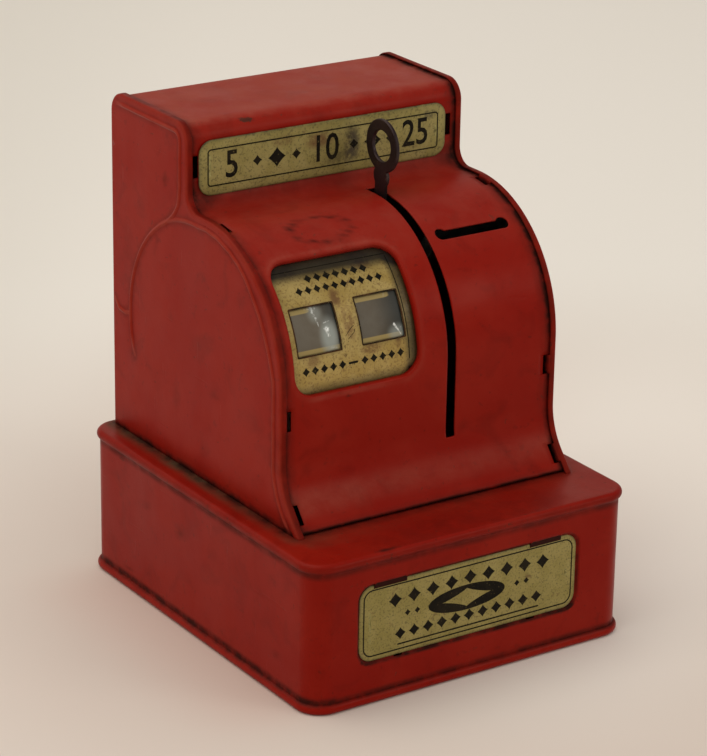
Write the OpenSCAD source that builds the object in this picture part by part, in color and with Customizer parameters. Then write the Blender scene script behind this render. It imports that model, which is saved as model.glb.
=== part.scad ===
// Toy cash register bank of pressed steel: a base box with a coin drawer, a curved housing and
// the counting works inside. Origin: bottom centre. The front faces -Y, +X is to the right.

/* [Base] */
// Width of the base over its bottom rim
base_w = 117.5; // [112:0.5:124]
// Depth of the base over its bottom rim
base_d = 134; // [130:0.5:142]
// Height of the ledge that the housing stands on
base_h = 48.2; // [46:0.1:52]
// Radius of the upright corners of the base wall
base_corner_r = 7.5; // [5:0.5:10]
// Sheet thickness of every pressed panel
sheet = 0.5; // [0.4:0.05:0.6]
// How far the rolled bottom rim stands out from the wall
rim_proud = 1.2; // [0.9:0.1:1.4]
// Radius of the rolled bottom rim
rim_r = 1.65; // [1.4:0.05:1.9]
// Depth of the flat that the rolled rim stands on
rim_flat = 0.05; // [0.03:0.01:0.1]
// Radius of the rolled bead round the ledge
bead_r = 1.6; // [1.3:0.1:1.9]
// How far the bead stands out from the wall
bead_proud = 1.0; // [0.6:0.1:1.2]

/* [Housing] */
// Height of the whole bank
total_h = 158.75; // [156:0.25:162]
// Width of the housing over its side panels
housing_w = 100.7; // [99:0.1:103]
// Width of the ledge behind the housing, measured from the bottom rim
ledge_back = 3.5; // [3:0.5:6]
// Depth from the origin to the upright sign face, towards the back
sign_y = 17.65; // [16:0.05:19]
// Depth of the drum axis, towards the back
drum_y = 6.8; // [6:0.1:7.5]
// Height of the drum axis
drum_z = 89.4; // [88:0.1:91]
// Radius of the drum over the panel flanges
drum_r = 42.7; // [42:0.1:43.5]
// Radius of the top corners of the side panels
corner_r = 6.5; // [5:0.5:8]
// Radius of the neck between drum and sign face
neck_r = 5.5; // [4:0.5:6.5]
// Radius of the flare at the foot of the front
flare_r = 21; // [18:1:24]
// Angle through which the flare turns outwards
flare_angle = 41; // [36:1:45]
// Height at which the flare begins
flare_top = 68.2; // [66:0.2:70]
// Width of the flange that laps over the front sheet
flange_w = 2.3; // [1.8:0.1:2.6]
// How far the front sheet lies below the flange
flange_step = 0.8; // [0.7:0.05:1]
// Radius of the rolled edge of the side panels
roll_r = 1.2; // [0.9:0.1:1.5]
// Distance of the pressed line from the edge of the side panel
line_inset = 3.4; // [3:0.1:4]
// Width of the pressed line
line_w = 1.4; // [1:0.1:1.8]
// Height of the pressed line
line_h = 0.35; // [0.2:0.05:0.5]
// Radius of the pressed circle line behind the drum
disc_line_r = 39.3; // [38:0.1:40]
// Distance of that circle behind the drum axis
disc_line_back = 6.2; // [5:0.1:7]
// Gap between the front sheet and the ledge
foot_gap = 0.7; // [0.4:0.1:1]
// Length of a fixing tab of the side panels
tab_len = 6.4; // [5:0.1:7]
// Angle of the upper fixing tab in front of the top of the drum
tab_angle = 8; // [4:1:12]

/* [Openings] */
// Left edge of the lever slot
lever_slot_x = 9.75; // [9:0.05:10]
// Width of the lever slot
lever_slot_w = 3.3; // [2.8:0.1:3.6]
// Height of the lower end of the lever slot
lever_slot_low = 64.4; // [63:0.1:67]
// Depth of the upper end of the lever slot, towards the back
lever_slot_back = 11; // [10:0.1:11.5]
// Left end of the coin slot
coin_slot_x = 16.3; // [16.3:0.1:17]
// Length of the coin slot
coin_slot_len = 27.1; // [26:0.1:27.4]
// Width of the coin slot
coin_slot_w = 3.35; // [3:0.05:3.5]
// Radius of the rounded slot ends
coin_end_r = 2.15; // [2:0.05:2.3]
// Angle of the coin slot above the horizontal, seen from the drum axis
coin_angle = 54; // [50:1:58]
// Left edge of the amount window
window_x = -44; // [-44.4:0.1:-43.5]
// Width of the amount window
window_w = 43.5; // [42:0.5:44]
// Angle of the top edge of the window above the horizontal
window_top = 55; // [52:1:58]
// Height of the bottom edge of the window below the drum axis
window_drop = 1.5; // [0:0.5:4]
// Corner radius of the window
window_r = 6; // [4:0.5:8]
// Depth of the rolled-in edge of the window
window_lip = 1.9; // [1.4:0.1:2.2]

/* [Plates] */
// Thickness of the printed plates
plate_t = 0.4; // [0.3:0.05:0.5]
// Length of the sign plate
sign_w = 90; // [86:0.5:91]
// Height of the sign plate
sign_h = 17.4; // [16:0.1:17.6]
// Height of the middle of the sign plate
sign_z = 144.1; // [143.5:0.1:144.6]
// Distance of the sign plate's middle from the centre line
sign_x = -0.9; // [-1.5:0.1:0.5]
// Corner radius of the plates
plate_r = 4.5; // [3:0.5:6]
// Length of the name plate on the base
name_w = 79.4; // [76:0.1:82]
// Height of the name plate on the base
name_h = 24.5; // [22:0.5:26]
// Height of the middle of the name plate
name_z = 25.6; // [24:0.1:27]
// Distance of the name plate's middle from the centre line
name_x = -1.3; // [-2:0.1:0]
// Width of one number pane
pane_w = 15; // [14:0.1:15]
// Left edge of the left pane
pane_left_x = -41.6; // [-42:0.1:-41]
// Left edge of the right pane
pane_right_x = -18.9; // [-19.2:0.1:-18.5]
// Angle of the middle of the panes above the horizontal
pane_angle = 24.25; // [22:0.25:26]
// Angle that a pane spans
pane_span = 20.5; // [18:0.5:22]

/* [Counting works] */
// Number of steps in one turn of a number wheel
steps = 20; // [20]
// Radius of the number wheels
wheel_r = 38.2; // [37:0.1:38.3]
// Radius over the ratchet teeth
ratchet_r = 16; // [14:0.5:17]
// Depth of the ratchet teeth
tooth_h = 2.2; // [1.6:0.1:2.6]
// Thickness of ratchets, pawls and arms
part_t = 1.2; // [1:0.1:1.3]
// Thickness of the frame plates
frame_t = 1; // [0.8:0.1:1.1]
// Radius of the lever shaft
shaft_r = 2.5; // [2:0.1:3]
// Running clearance of a shaft in its hole
run = 0.05; // [0.03:0.01:0.08]
// Radius of the rods that tie the frame plates
rod_r = 1.6; // [1.3:0.1:2]
// Radius of the studs that carry the pawls
stud_r = 1.2; // [1:0.1:1.4]
// Gap between pieces that pass each other
pass = 0.4; // [0.3:0.05:0.5]

/* [Lever] */
// Distance from the shaft to the middle of the finger ring
ring_dist = 57.2; // [56:0.1:58]
// Outer diameter of the finger ring
ring_od = 16.8; // [15:0.1:17.4]
// Diameter of the finger hole
ring_id = 9.8; // [9:0.1:11]
// Width of the lever stem
stem_w = 5.6; // [5:0.1:6]
// Lean of the lever towards the front at rest, in degrees
lever_lean = 2.5; // [1:0.5:4]
// Turn of the lever from rest to its lower stop, in degrees
lever_turn = 108; // [100:1:112]

/* [Bell] */
// Radius of the bell at its mouth
bell_r = 13; // [11:0.5:13.5]
// Distance of the bell's middle from the back of the housing
bell_back = 18.5; // [17:0.5:20]
// Distance of the bell's middle from the top of the housing
bell_top = 17.75; // [16:0.25:18.5]
// Distance of the hammer's stud from the lever shaft
hammer_dist = 31; // [30:0.5:33]

/* [Coin gate] */
// Share of the lever's turn that the gate makes
gate_ratio = 0.2; // [0.15:0.01:0.22]
// Length of the gate's follower arm
follower_len = 27; // [26:0.5:28]
// Angle between follower arm and shaft line at rest
follower_rest = 15; // [12:1:18]
// Radius of the follower's roller
roller_r = 1.6; // [1.3:0.1:1.8]

/* [Drawer] */
// Width of the coin drawer's tray
drawer_w = 88; // [80:1:90]
// Depth of the tray
drawer_d = 119; // [100:1:120]
// Height of the tray
drawer_h = 26; // [20:1:28]
// Radius of the finger hole in the drawer front
pull_r = 8; // [6:0.5:9]
// Travel of the drawer
drawer_travel = 75; // [60:1:80]

/* [Hidden] */
$fn = 64;

paint = "firebrick";
brass = "darkkhaki";
steel = "silver";
dark = "dimgray";
eps = 0.01;

housing_back = base_d / 2 - ledge_back;
bell_y = housing_back - bell_back;
bell_z = total_h - bell_top;
wall_w = base_w - 2 * rim_proud;
wall_d = base_d - 2 * rim_proud;
front_wall_y = -wall_d / 2;
back_wall_y = wall_d / 2;
floor_z = rim_r - rim_flat - sheet / 2;
panel_x = housing_w / 2;
wrap_w = housing_w - 2 * sheet - 0.1;
wrap_r = drum_r - flange_step;
wrap_tail = total_h - corner_r - 8;
axis_pos = [0, drum_y, drum_z];
seam_x = panel_x - flange_w;
tab_slot_w = 2.6;

mask_gap = 0.05;
mask_inset = flange_step + window_lip + mask_gap;
pane_inset = mask_inset + plate_t + mask_gap;

chute_x = coin_slot_x - 0.5 - sheet;
chute_w = coin_slot_len + 1 + 2 * sheet;
chute_gap = 2 * coin_end_r + 0.3;
chute_low = -37;
chute_high = wrap_r - sheet - 0.9;

left_frame_x = pane_left_x - 5.4;
mid_frame_x = (pane_left_x + pane_w + part_t + pane_right_x) / 2 - frame_t / 2;
cents_ratchet_x = pane_right_x + pane_w;
dollars_ratchet_x = pane_left_x + pane_w;
drive_arm_x = cents_ratchet_x + part_t + pass;
centre_frame_x = drive_arm_x + part_t + 2.6;
cam_x = centre_frame_x + frame_t + 1.4;
spring_x = cam_x + part_t + 0.6;
lever_x = lever_slot_x + (lever_slot_w - part_t) / 2;
right_frame_x = chute_x - frame_t;
shaft_x0 = left_frame_x - 1;
shaft_x1 = chute_x - 0.1;

rod_front = [-23, base_h + 7.3];
rod_back = [housing_back - 18.5, base_h + 7.3];
rod_top = [housing_back - 16.5, bell_z - bell_r - 10];

pawl_eye_r = 2.6;
stud_dist = 21;
pawl_span = 42.4;
pawl_lift = 9.5;
drive_nose = 90;
check_nose = -36;
drive_stud_angle = drive_nose - pawl_span;
check_stud = polar(stud_dist, check_nose - pawl_span);
carry_dist = 33;
carry_angle = -100;
carry_stud = polar(carry_dist, carry_angle);
carry_finger = 18;
carry_back = 25;
carry_pin_r = 1.2;
carry_pin_dist = 27;
carry_pin_angle = -96;
hammer_stud = polar(hammer_dist, 64);
arm_end_r = stud_dist + pawl_eye_r;

gate_back = 5;
gate_pos = turn2([gate_back, chute_low], 90 - coin_angle) + [drum_y, drum_z];
gate_r = 1.5;
gate_dist = norm(gate_pos - [drum_y, drum_z]);
gate_dir = atan2(gate_pos[1] - drum_z, gate_pos[0] - drum_y);
feeler_pos = turn2([6, 8], 90 - coin_angle) + [drum_y, drum_z];

rail_h = 4.4;
tray_z = floor_z + sheet / 2 + rail_h + 0.3;
front_low = tray_z - 0.2;
front_high = base_h - 8.6;
front_face_w = drawer_w + 3;
tray_front = back_wall_y - sheet - drawer_d;
lip_z = front_high - sheet;
bolt_spring_r = 2.4;
spring_wire_r = 0.4;
bolt_y = housing_back - flange_step - sheet - bolt_spring_r - spring_wire_r - 1.4;
bolt_t = 1.2;
bolt_w = 10;
bolt_stem_w = 3.2;
bolt_plate_h = 12.5;
guide_low = 6;
guide_h = 24;
guide_foot = 5;
guide_head = 1.6;

// Turns a point of the Y Z plane about the drum axis
function turn2(p, a) = [p[0] * cos(a) - p[1] * sin(a), p[0] * sin(a) + p[1] * cos(a)];
// A point at a distance and angle from the drum axis, the angle from the back upwards
function polar(r, a) = [drum_y + r * cos(a), drum_z + r * sin(a)];

// A shape of the Y Z plane carried along X from x0
module along_x(x0, len) {
    translate([x0, 0, 0]) rotate([90, 0, 90]) linear_extrude(len) children();
}

module rounded_rect(w, h, r) {
    square([w - 2 * r, h], center = true);
    square([w, h - 2 * r], center = true);
    for (sx = [-1, 1], sy = [-1, 1])
        translate([sx * (w / 2 - r), sy * (h / 2 - r)]) circle(r);
}

// A wall section carried round a rounded rectangle: x is outwards from the wall, y is up
module round_sweep(w, d, r) {
    for (a = [0:3]) {
        across = a % 2 == 0 ? w : d;
        along = a % 2 == 0 ? d : w;
        rotate([0, 0, 90 * a]) {
            translate([across / 2, along / 2 - r, 0]) rotate([90, 0, 0])
                linear_extrude(along - 2 * r) children();
            translate([across / 2 - r, along / 2 - r, 0]) rotate_extrude(angle = 90)
                translate([r, 0]) children();
        }
    }
}

// Outline of the housing seen from the side, drawn inset and open below by drop
module side_profile(inset, drop = 0) {
    low = base_h - drop;
    front = drum_y - drum_r + inset;
    flare_c = [drum_y - drum_r - flare_r, flare_top];
    flare_run = flare_r + inset;
    bend = flare_c + flare_run * [cos(flare_angle), -sin(flare_angle)];
    foot = bend[0] - (bend[1] - low) * tan(flare_angle);
    neck_c = [sign_y - neck_r, drum_z + drum_r + neck_r];
    neck_top = neck_c[1] - neck_r - inset;
    corner = corner_r - inset;
    top_w = housing_back - sign_y - 2 * inset;
    translate([sign_y + inset, low]) square([top_w, total_h - inset - corner - low]);
    translate([sign_y + inset + corner, low])
        square([top_w - 2 * corner, total_h - inset - low]);
    for (y = [sign_y + corner_r, housing_back - corner_r])
        translate([y, total_h - corner_r]) circle(corner);
    translate([drum_y, drum_z]) intersection() {
        circle(drum_r - inset);
        translate([-drum_r, -1]) square([drum_r + 1, drum_r + 1]);
    }
    translate([front, low]) square([sign_y + 1 - front, drum_z - low]);
    translate([drum_y, low]) square([sign_y + inset + 1 - drum_y, neck_top - low]);
    difference() {
        translate([neck_c[0], neck_top - 1])
            square([sign_y + inset + 1 - neck_c[0], neck_c[1] - neck_top + 1]);
        translate(neck_c) circle(neck_r + inset);
    }
    difference() {
        polygon([[front, flare_top], bend, [foot, low], [front + 1, low], [front + 1, flare_top]]);
        translate(flare_c) circle(flare_run);
    }
}

// Section of the base wall with its bead
module wall_section() {
    translate([-sheet, rim_r - 0.6]) square([sheet, base_h - 2 * bead_r - rim_r + 0.9]);
    translate([bead_proud - bead_r, base_h - bead_r]) difference() {
        circle(bead_r);
        circle(bead_r - sheet);
    }
}

module name_shape(grow) {
    rounded_rect(name_w + 2 * grow, name_h + 2 * grow, plate_r + grow);
}

// A shape facing the front, its rear face at y
module facing_front(x, y, z, t) {
    translate([x, y, z]) rotate([90, 0, 0]) linear_extrude(t) children();
}

name_depth = 0.9;
tab_x = [-28.8, 28.2];
name_tab_w = 11.8;
name_slot_x = [-25.6, 23.1];

module base_shell() {
    color(paint) {
        difference() {
            union() {
                round_sweep(wall_w, wall_d, base_corner_r) wall_section();
                translate([0, 0, base_h - sheet]) linear_extrude(sheet)
                    rounded_rect(wall_w - 1.2, wall_d - 1.2, base_corner_r - 0.6);
            }
            facing_front(name_x, front_wall_y + 2, name_z, 4) name_shape(0.5);
            translate([-front_face_w / 2 - 0.3, back_wall_y - 3, front_low - 0.3])
                cube([front_face_w + 0.6, 5, front_high - front_low + 0.6]);
            translate([right_frame_x + 4, drum_y - 8, base_h - 2])
                cube([chute_w - 4, 50, 4]);
            translate([-bolt_w / 2 - 0.4, bolt_y - 0.4, base_h - 2])
                cube([bolt_w + 0.8, bolt_t + 0.8, 4]);
            for (p = foot_screws) translate([p[0], p[1], base_h - 2]) cylinder(r = 1.1, h = 4);
        }
        facing_front(name_x, front_wall_y + name_depth + sheet, name_z, sheet) difference() {
            name_shape(0.5);
            for (x = name_slot_x)
                translate([x, -name_h / 2 + 0.2]) square([3, 1.2], center = true);
        }
        facing_front(name_x, front_wall_y + name_depth + sheet, name_z, name_depth + sheet)
            difference() {
                name_shape(0.5);
                name_shape(0.5 - sheet);
            }
        for (x = tab_x) name_tab(x);
    }
}

// A tab of the wall bent down over the top edge of the name plate
module name_tab(x) {
    tab_top = name_z + name_h / 2 + 0.5;
    tab_proud = name_depth - plate_t - sheet;
    translate([name_x + x - name_tab_w / 2, front_wall_y + tab_proud - 0.1, tab_top - 2])
        cube([name_tab_w, sheet, 2]);
}

module bottom_plate() {
    color(paint) {
        round_sweep(wall_w, wall_d, base_corner_r) difference() {
            translate([rim_proud - rim_r, rim_r - rim_flat]) circle(rim_r);
            translate([rim_proud - rim_r, rim_r - rim_flat]) circle(rim_r - sheet);
            translate([rim_proud - 2 * rim_r, -1]) square([2 * rim_r, 1]);
            translate([-sheet - 0.05, rim_r - 0.7]) square([sheet + 0.1, rim_r + 1]);
        }
        translate([0, 0, floor_z - sheet / 2]) linear_extrude(sheet)
            rounded_rect(wall_w - 2 * (2 * rim_r - rim_proud - sheet / 2),
                wall_d - 2 * (2 * rim_r - rim_proud - sheet / 2), base_corner_r - 1.8);
    }
}

module base_nameplate() {
    color(brass) facing_front(name_x, front_wall_y + name_depth, name_z, plate_t) name_shape(0);
}

// Places of the fixing tabs along the seam: point on the flange and direction of the edge
seam_slope = flare_top - (flare_r + flange_step) * sin(flare_angle);
tab_spots = [
    [drum_y - wrap_r * sin(tab_angle), drum_z + wrap_r * cos(tab_angle), tab_angle],
    [drum_y - wrap_r, drum_z - 8.4, 90],
    [drum_y - drum_r - flare_r + (flare_r + flange_step) * cos(flare_angle) - 0.9,
        seam_slope - 1, 90 - flare_angle]];

// Tongues of the side panel that are bent in through slots of the front sheet
module seam_tongues(width, thick, depth) {
    for (s = tab_spots)
        translate([0, s[0], s[1]]) rotate([s[2], 0, 0])
            translate([-thick, -width / 2, -depth]) cube([2 * thick, width, 2 * depth]);
}

// Pressed line that follows the outline at the edge of the panel and the circle behind the drum
module pressed_lines() {
    line = line_inset;
    disc_c = [drum_y + disc_line_back, drum_z];
    difference() {
        side_profile(line, 1);
        side_profile(line + line_w, 1);
        translate([disc_c[0] + 9, base_h - 2]) square([80, drum_z + 44 - base_h]);
        translate([disc_c[0] - 3, base_h - 2]) square([16, drum_z + 30 - base_h]);
        translate([housing_back - 6, base_h]) square([10, total_h]);
    }
    intersection() {
        translate(disc_c) difference() {
            circle(disc_line_r + line_w / 2);
            circle(disc_line_r - line_w / 2);
        }
        translate(disc_c) polygon([[0, 0], 60 * [cos(-24), sin(-24)], [60, 0],
            80 * [cos(40), sin(40)], 60 * [cos(76), sin(76)]]);
    }
}

// Pan-shaped side panel, drawn as the left one: flat face, rolled edge and flange
module side_panel() {
    steps_in = 2;
    step = sheet / steps_in;
    for (i = [0:steps_in - 1]) {
        depth = roll_r - (i + 0.5) * step;
        along_x(-panel_x + i * step, step)
            side_profile(roll_r - sqrt(roll_r * roll_r - depth * depth));
    }
    along_x(-panel_x + sheet, flange_w - sheet) difference() {
        side_profile(0);
        side_profile(sheet, 1);
    }
    along_x(-panel_x - line_h, line_h + eps) intersection() {
        pressed_lines();
        side_profile(line_inset - 0.5);
    }
    intersection() {
        translate([-seam_x, 0, 0]) seam_tongues(tab_len - 0.4, sheet, 2);
        along_x(-seam_x - sheet, 2 * sheet) difference() {
            side_profile(sheet / 2);
            side_profile(flange_step + 2);
        }
    }
}

module left_side_panel() {
    color(paint) side_panel();
}

module right_side_panel() {
    color(paint) mirror([1, 0, 0]) side_panel();
}

// Chord of the window: middle, length and angle, seen from the drum axis
window_p1 = wrap_r * [cos(window_top), sin(window_top)];
window_p2 = [wrap_r, -window_drop];
window_mid = (window_p1 + window_p2) / 2;
window_h = norm(window_p1 - window_p2);
window_tilt = atan2(window_p2[0] - window_p1[0], window_p1[1] - window_p2[1]);

// A shape looking out of the drum at an angle, through the point p in front of the axis
module facing_out(x, p, angle, t) {
    translate([x, drum_y - p[0], drum_z + p[1]]) rotate([90 - angle, 0, 0])
        translate([0, 0, -t / 2]) linear_extrude(t) children();
}

module window_prism(grow, t) {
    facing_out(window_x + window_w / 2, window_mid, window_tilt, t)
        rounded_rect(window_w + 2 * grow, window_h + 2 * grow, window_r + grow);
}

module coin_slot_shape() {
    translate([coin_slot_x + coin_end_r, -coin_end_r])
        square([coin_slot_len - 2 * coin_end_r, coin_slot_w]);
    for (x = [coin_slot_x + coin_end_r, coin_slot_x + coin_slot_len - coin_end_r])
        translate([x, 0]) circle(coin_end_r);
}

module front_wrap() {
    color(paint) {
        difference() {
            along_x(-wrap_w / 2, wrap_w) difference() {
                side_profile(flange_step, 1);
                side_profile(flange_step + sheet, 2);
            }
            translate([-60, -80, base_h - 3]) cube([120, 160, 3 + foot_gap]);
            translate([-60, housing_back - 15, base_h - 3])
                cube([120, 20, wrap_tail - base_h + 3]);
            window_prism(0, 30);
            translate([lever_slot_x, -60, lever_slot_low])
                cube([lever_slot_w, 60 + lever_slot_back, drum_z + drum_r + 2 - lever_slot_low]);
            translate(axis_pos) rotate([90 - coin_angle, 0, 0])
                translate([0, 0, wrap_r - 5]) linear_extrude(10) coin_slot_shape();
            for (side = [-1, 1]) {
                translate([sign_x + side * (sign_w / 2 + 1.1), sign_y + 1, sign_z + 0.8])
                    cube([2.6, 4, 7], center = true);
                translate([side * (seam_x + sheet - tab_slot_w / 2), 0, 0])
                    seam_tongues(tab_len, tab_slot_w / 2, 2.5);
            }
        }
        intersection() {
            difference() {
                window_prism(sheet, 30);
                window_prism(0, 32);
            }
            along_x(-wrap_w / 2, wrap_w) difference() {
                side_profile(flange_step);
                side_profile(flange_step + window_lip);
            }
        }
    }
}

module back_panel() {
    low = base_h + 0.1;
    color(paint) translate([-wrap_w / 2, housing_back - flange_step - sheet, low])
        cube([wrap_w, sheet, wrap_tail - 0.1 - low]);
}

module sign_plate() {
    color(brass) {
        facing_front(sign_x, sign_y + plate_t - 0.02, sign_z, plate_t)
            rounded_rect(sign_w, sign_h, plate_r);
        for (side = [-1, 1])
            translate([sign_x + side * (sign_w / 2 + 0.15), sign_y + 1.1, sign_z + 0.8])
                cube([plate_t, 2.2, 6.2], center = true);
    }
}

// A band of the drum between two angles, under the front sheet
module drum_band(x, w, inset, t, low_angle, high_angle) {
    far = 2 * drum_r;
    along_x(x, w) intersection() {
        difference() {
            side_profile(inset);
            side_profile(inset + t, 1);
        }
        translate([drum_y, drum_z]) polygon([[0, 0], far * [-cos(high_angle), sin(high_angle)],
            far * [-cos((low_angle + high_angle) / 2), sin((low_angle + high_angle) / 2)],
            far * [-cos(low_angle), sin(low_angle)]]);
    }
}

module pane_prism(x, grow) {
    facing_out(x + pane_w / 2, (wrap_r - 2) * [cos(pane_angle), sin(pane_angle)], pane_angle, 20)
        square([pane_w + 2 * grow, 2 * (wrap_r - 2) * sin(pane_span / 2) + 2 * grow],
            center = true);
}

module window_mask() {
    color(brass) difference() {
        drum_band(window_x - 2.4, window_w + 4.8, mask_inset, plate_t, -7, 60);
        pane_prism(pane_left_x, 0);
        pane_prism(pane_right_x, 0);
    }
}

// Milky number pane: a flat edge behind the mask and a raised cushion in its opening
module pane(x) {
    drum_band(x - 1.5, pane_w + 3, pane_inset, plate_t, pane_angle - pane_span / 2 - 2,
        pane_angle + pane_span / 2 + 2);
    intersection() {
        drum_band(x, pane_w, pane_inset - plate_t, plate_t + 0.1,
            pane_angle - pane_span / 2 - 2, pane_angle + pane_span / 2 + 2);
        pane_prism(x, -0.15);
    }
}

module dollars_pane() {
    color("lightgray") pane(pane_left_x);
}

module cents_pane() {
    color("lightgray") pane(pane_right_x);
}

foot_w = 6.5;
foot_len = 16;
foot_y = [rod_front[0] - 3 + foot_len / 2, rod_back[0] + 3 - foot_len / 2];
foot_screws = [for (x = [left_frame_x, mid_frame_x, centre_frame_x], y = foot_y)
    [x + foot_w - 3, y]];
shaft_hole = [[drum_y, drum_z], shaft_r + run];
rod_holes = [for (p = [rod_front, rod_back, rod_top]) [p, rod_r]];

// Frame plate that carries the shaft; holes lists [point, radius]
module frame_plate(x, holes, upper) {
    difference() {
        union() {
            along_x(x, frame_t) {
                polygon([[rod_front[0] - 5, base_h], [rod_back[0] + 5, base_h],
                    [rod_top[0] + 5, base_h + 12], [rod_top[0] + 5, rod_top[1] + 4],
                    [rod_top[0] - 4, rod_top[1] + 5.5], [drum_y + 6, drum_z + 12],
                    [drum_y - 6, drum_z + 11], [drum_y - 11, drum_z + 4],
                    [rod_front[0] - 5, base_h + 12]]);
                if (upper) polygon([[drum_y + 6, drum_z + 10], [rod_top[0] - 8, rod_top[1]],
                    [rod_top[0] + 5, rod_top[1] + 2], [bell_y + 6, bell_z + 7],
                    [bell_y - 6, bell_z + 7], hammer_stud + [6, 7], hammer_stud + [-4, 4]]);
            }
            translate([x, rod_front[0] - 3, base_h]) cube([foot_w, foot_len, frame_t]);
            translate([x, rod_back[0] + 3 - foot_len, base_h]) cube([foot_w, foot_len, frame_t]);
        }
        for (h = holes)
            translate([x - 1, h[0][0], h[0][1]]) rotate([0, 90, 0])
                cylinder(r = h[1], h = frame_t + 2);
        for (y = foot_y) translate([x + foot_w - 3, y, base_h - 1]) cylinder(r = 1.1, h = 4);
    }
}

module left_frame() {
    color(steel) frame_plate(left_frame_x, concat([shaft_hole], rod_holes), false);
}

module mid_frame() {
    color(steel) {
        frame_plate(mid_frame_x, concat([shaft_hole, [carry_stud, stud_r + run]], rod_holes), false);
        stud(mid_frame_x, check_stud, dollars_ratchet_x);
    }
}

module centre_frame() {
    color(steel) {
        frame_plate(centre_frame_x, concat([shaft_hole, [gate_pos, gate_r + run]], rod_holes), true);
        stud(centre_frame_x, check_stud, cents_ratchet_x);
        stud(centre_frame_x, hammer_stud, drive_arm_x - 0.6);
    }
}

module right_frame() {
    color(steel) difference() {
        along_x(right_frame_x, frame_t) polygon([[rod_front[0] - 5, base_h],
            [rod_back[0] + 5, base_h], [rod_top[0] + 5, base_h + 12],
            [rod_top[0] + 5, rod_top[1] + 4], [rod_top[0] - 4, rod_top[1] + 5.5],
            [drum_y + 6, drum_z + 12], [drum_y - 6, drum_z + 11], [drum_y - 11, drum_z + 4],
            [rod_front[0] - 5, base_h + 12]]);
        for (h = concat([shaft_hole, [gate_pos, gate_r + run]], rod_holes))
            translate([right_frame_x - 1, h[0][0], h[0][1]]) rotate([0, 90, 0])
                cylinder(r = h[1], h = frame_t + 2);
    }
}

// A stud riveted into a plate, reaching to the left as far as x1
module stud(x, at, x1) {
    translate([x1, at[0], at[1]]) rotate([0, 90, 0]) cylinder(r = stud_r, h = x - x1 + eps);
}

module rod(at) {
    x0 = left_frame_x - 0.8;
    x1 = right_frame_x + frame_t - 0.1;
    translate([x0, at[0], at[1]]) rotate([0, 90, 0]) cylinder(r = rod_r, h = x1 - x0);
}

module frame_rods() {
    color(steel) for (p = [rod_front, rod_back, rod_top]) rod(p);
}

module frame_screws() {
    color(dark) for (p = foot_screws)
        translate([p[0], p[1], base_h + frame_t]) difference() {
            union() {
                cylinder(r1 = 2.1, r2 = 1.5, h = 1.2);
                translate([0, 0, -1.4]) cylinder(r = 1.05, h = 1.5);
            }
            translate([0, 0, 1.2]) cube([5, 0.5, 0.8], center = true);
        }
}

// Moves into the frame of the coin chute: z outwards to the slot, y to its upper side
module in_chute() {
    translate(axis_pos) rotate([90 - coin_angle, 0, 0]) children();
}

module coin_chute() {
    wall_y = chute_gap / 2;
    color(steel) in_chute() {
        difference() {
            translate([chute_x, -wall_y - sheet, chute_low])
                cube([chute_w, chute_gap + 2 * sheet, chute_high - chute_low]);
            translate([chute_x + sheet, -wall_y, chute_low - 1])
                cube([chute_w - 2 * sheet, chute_gap, chute_high - chute_low + 2]);
            translate([chute_x + chute_w / 2 - 1.4, 0, -18]) cube([2.8, 5, 18]);
        }
        for (x = [chute_x + chute_w / 2 - 3.6, chute_x + chute_w / 2 + 2.4])
            difference() {
                translate([x, wall_y + sheet - eps, 5]) cube([part_t, 6, 6]);
                translate([x - 1, 6, 8]) rotate([0, 90, 0]) cylinder(r = 1, h = 4);
            }
        difference() {
            translate([chute_x + chute_w - part_t, wall_y + sheet - eps, chute_low])
                cube([part_t, gate_back - wall_y - sheet + 2.6, 5]);
            translate([chute_x + chute_w - 3, gate_back, chute_low]) rotate([0, 90, 0])
                cylinder(r = gate_r + run, h = 5);
        }
    }
}

bell_x = drive_arm_x - 3;
bell_depth = 7;
bell_t = 0.8;
bell_curve = (bell_r * bell_r + bell_depth * bell_depth) / (2 * bell_depth);

// Gong: a shallow cap of a sphere, its mouth towards the frame
module bell() {
    color(steel) translate([bell_x, bell_y, bell_z]) rotate([0, -90, 0]) difference() {
        intersection() {
            translate([0, 0, bell_depth - bell_curve]) sphere(bell_curve);
            cylinder(r = bell_r + 1, h = bell_depth + 1);
        }
        intersection() {
            translate([0, 0, bell_depth - bell_curve]) sphere(bell_curve - bell_t);
            translate([0, 0, -1]) cylinder(r = bell_r + 1, h = bell_depth + 2);
        }
        translate([0, 0, -1]) cylinder(r = 1.6, h = bell_depth + 3);
    }
}

module bell_post() {
    tip = bell_x - bell_depth;
    color(dark) translate([0, bell_y, bell_z]) rotate([0, -90, 0]) {
        translate([0, 0, -centre_frame_x])
            cylinder(r = 2.4, h = centre_frame_x - tip - bell_t - 0.3);
        translate([0, 0, -tip - bell_t - 0.4]) cylinder(r = 1.5, h = bell_t + 1.8);
        translate([0, 0, -tip]) cylinder(r = 2.6, h = 1.4, $fn = 6);
    }
}

module drawer_rails() {
    color(steel) for (side = [-1, 1])
        translate([side * (drawer_w / 2 - 2), (tray_front + back_wall_y) / 2 - 2,
            floor_z + sheet / 2 + rail_h / 2]) difference() {
            cube([7, drawer_d - 10, rail_h], center = true);
            translate([0, 0, -0.8]) cube([5.8, drawer_d, rail_h], center = true);
        }
}

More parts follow.
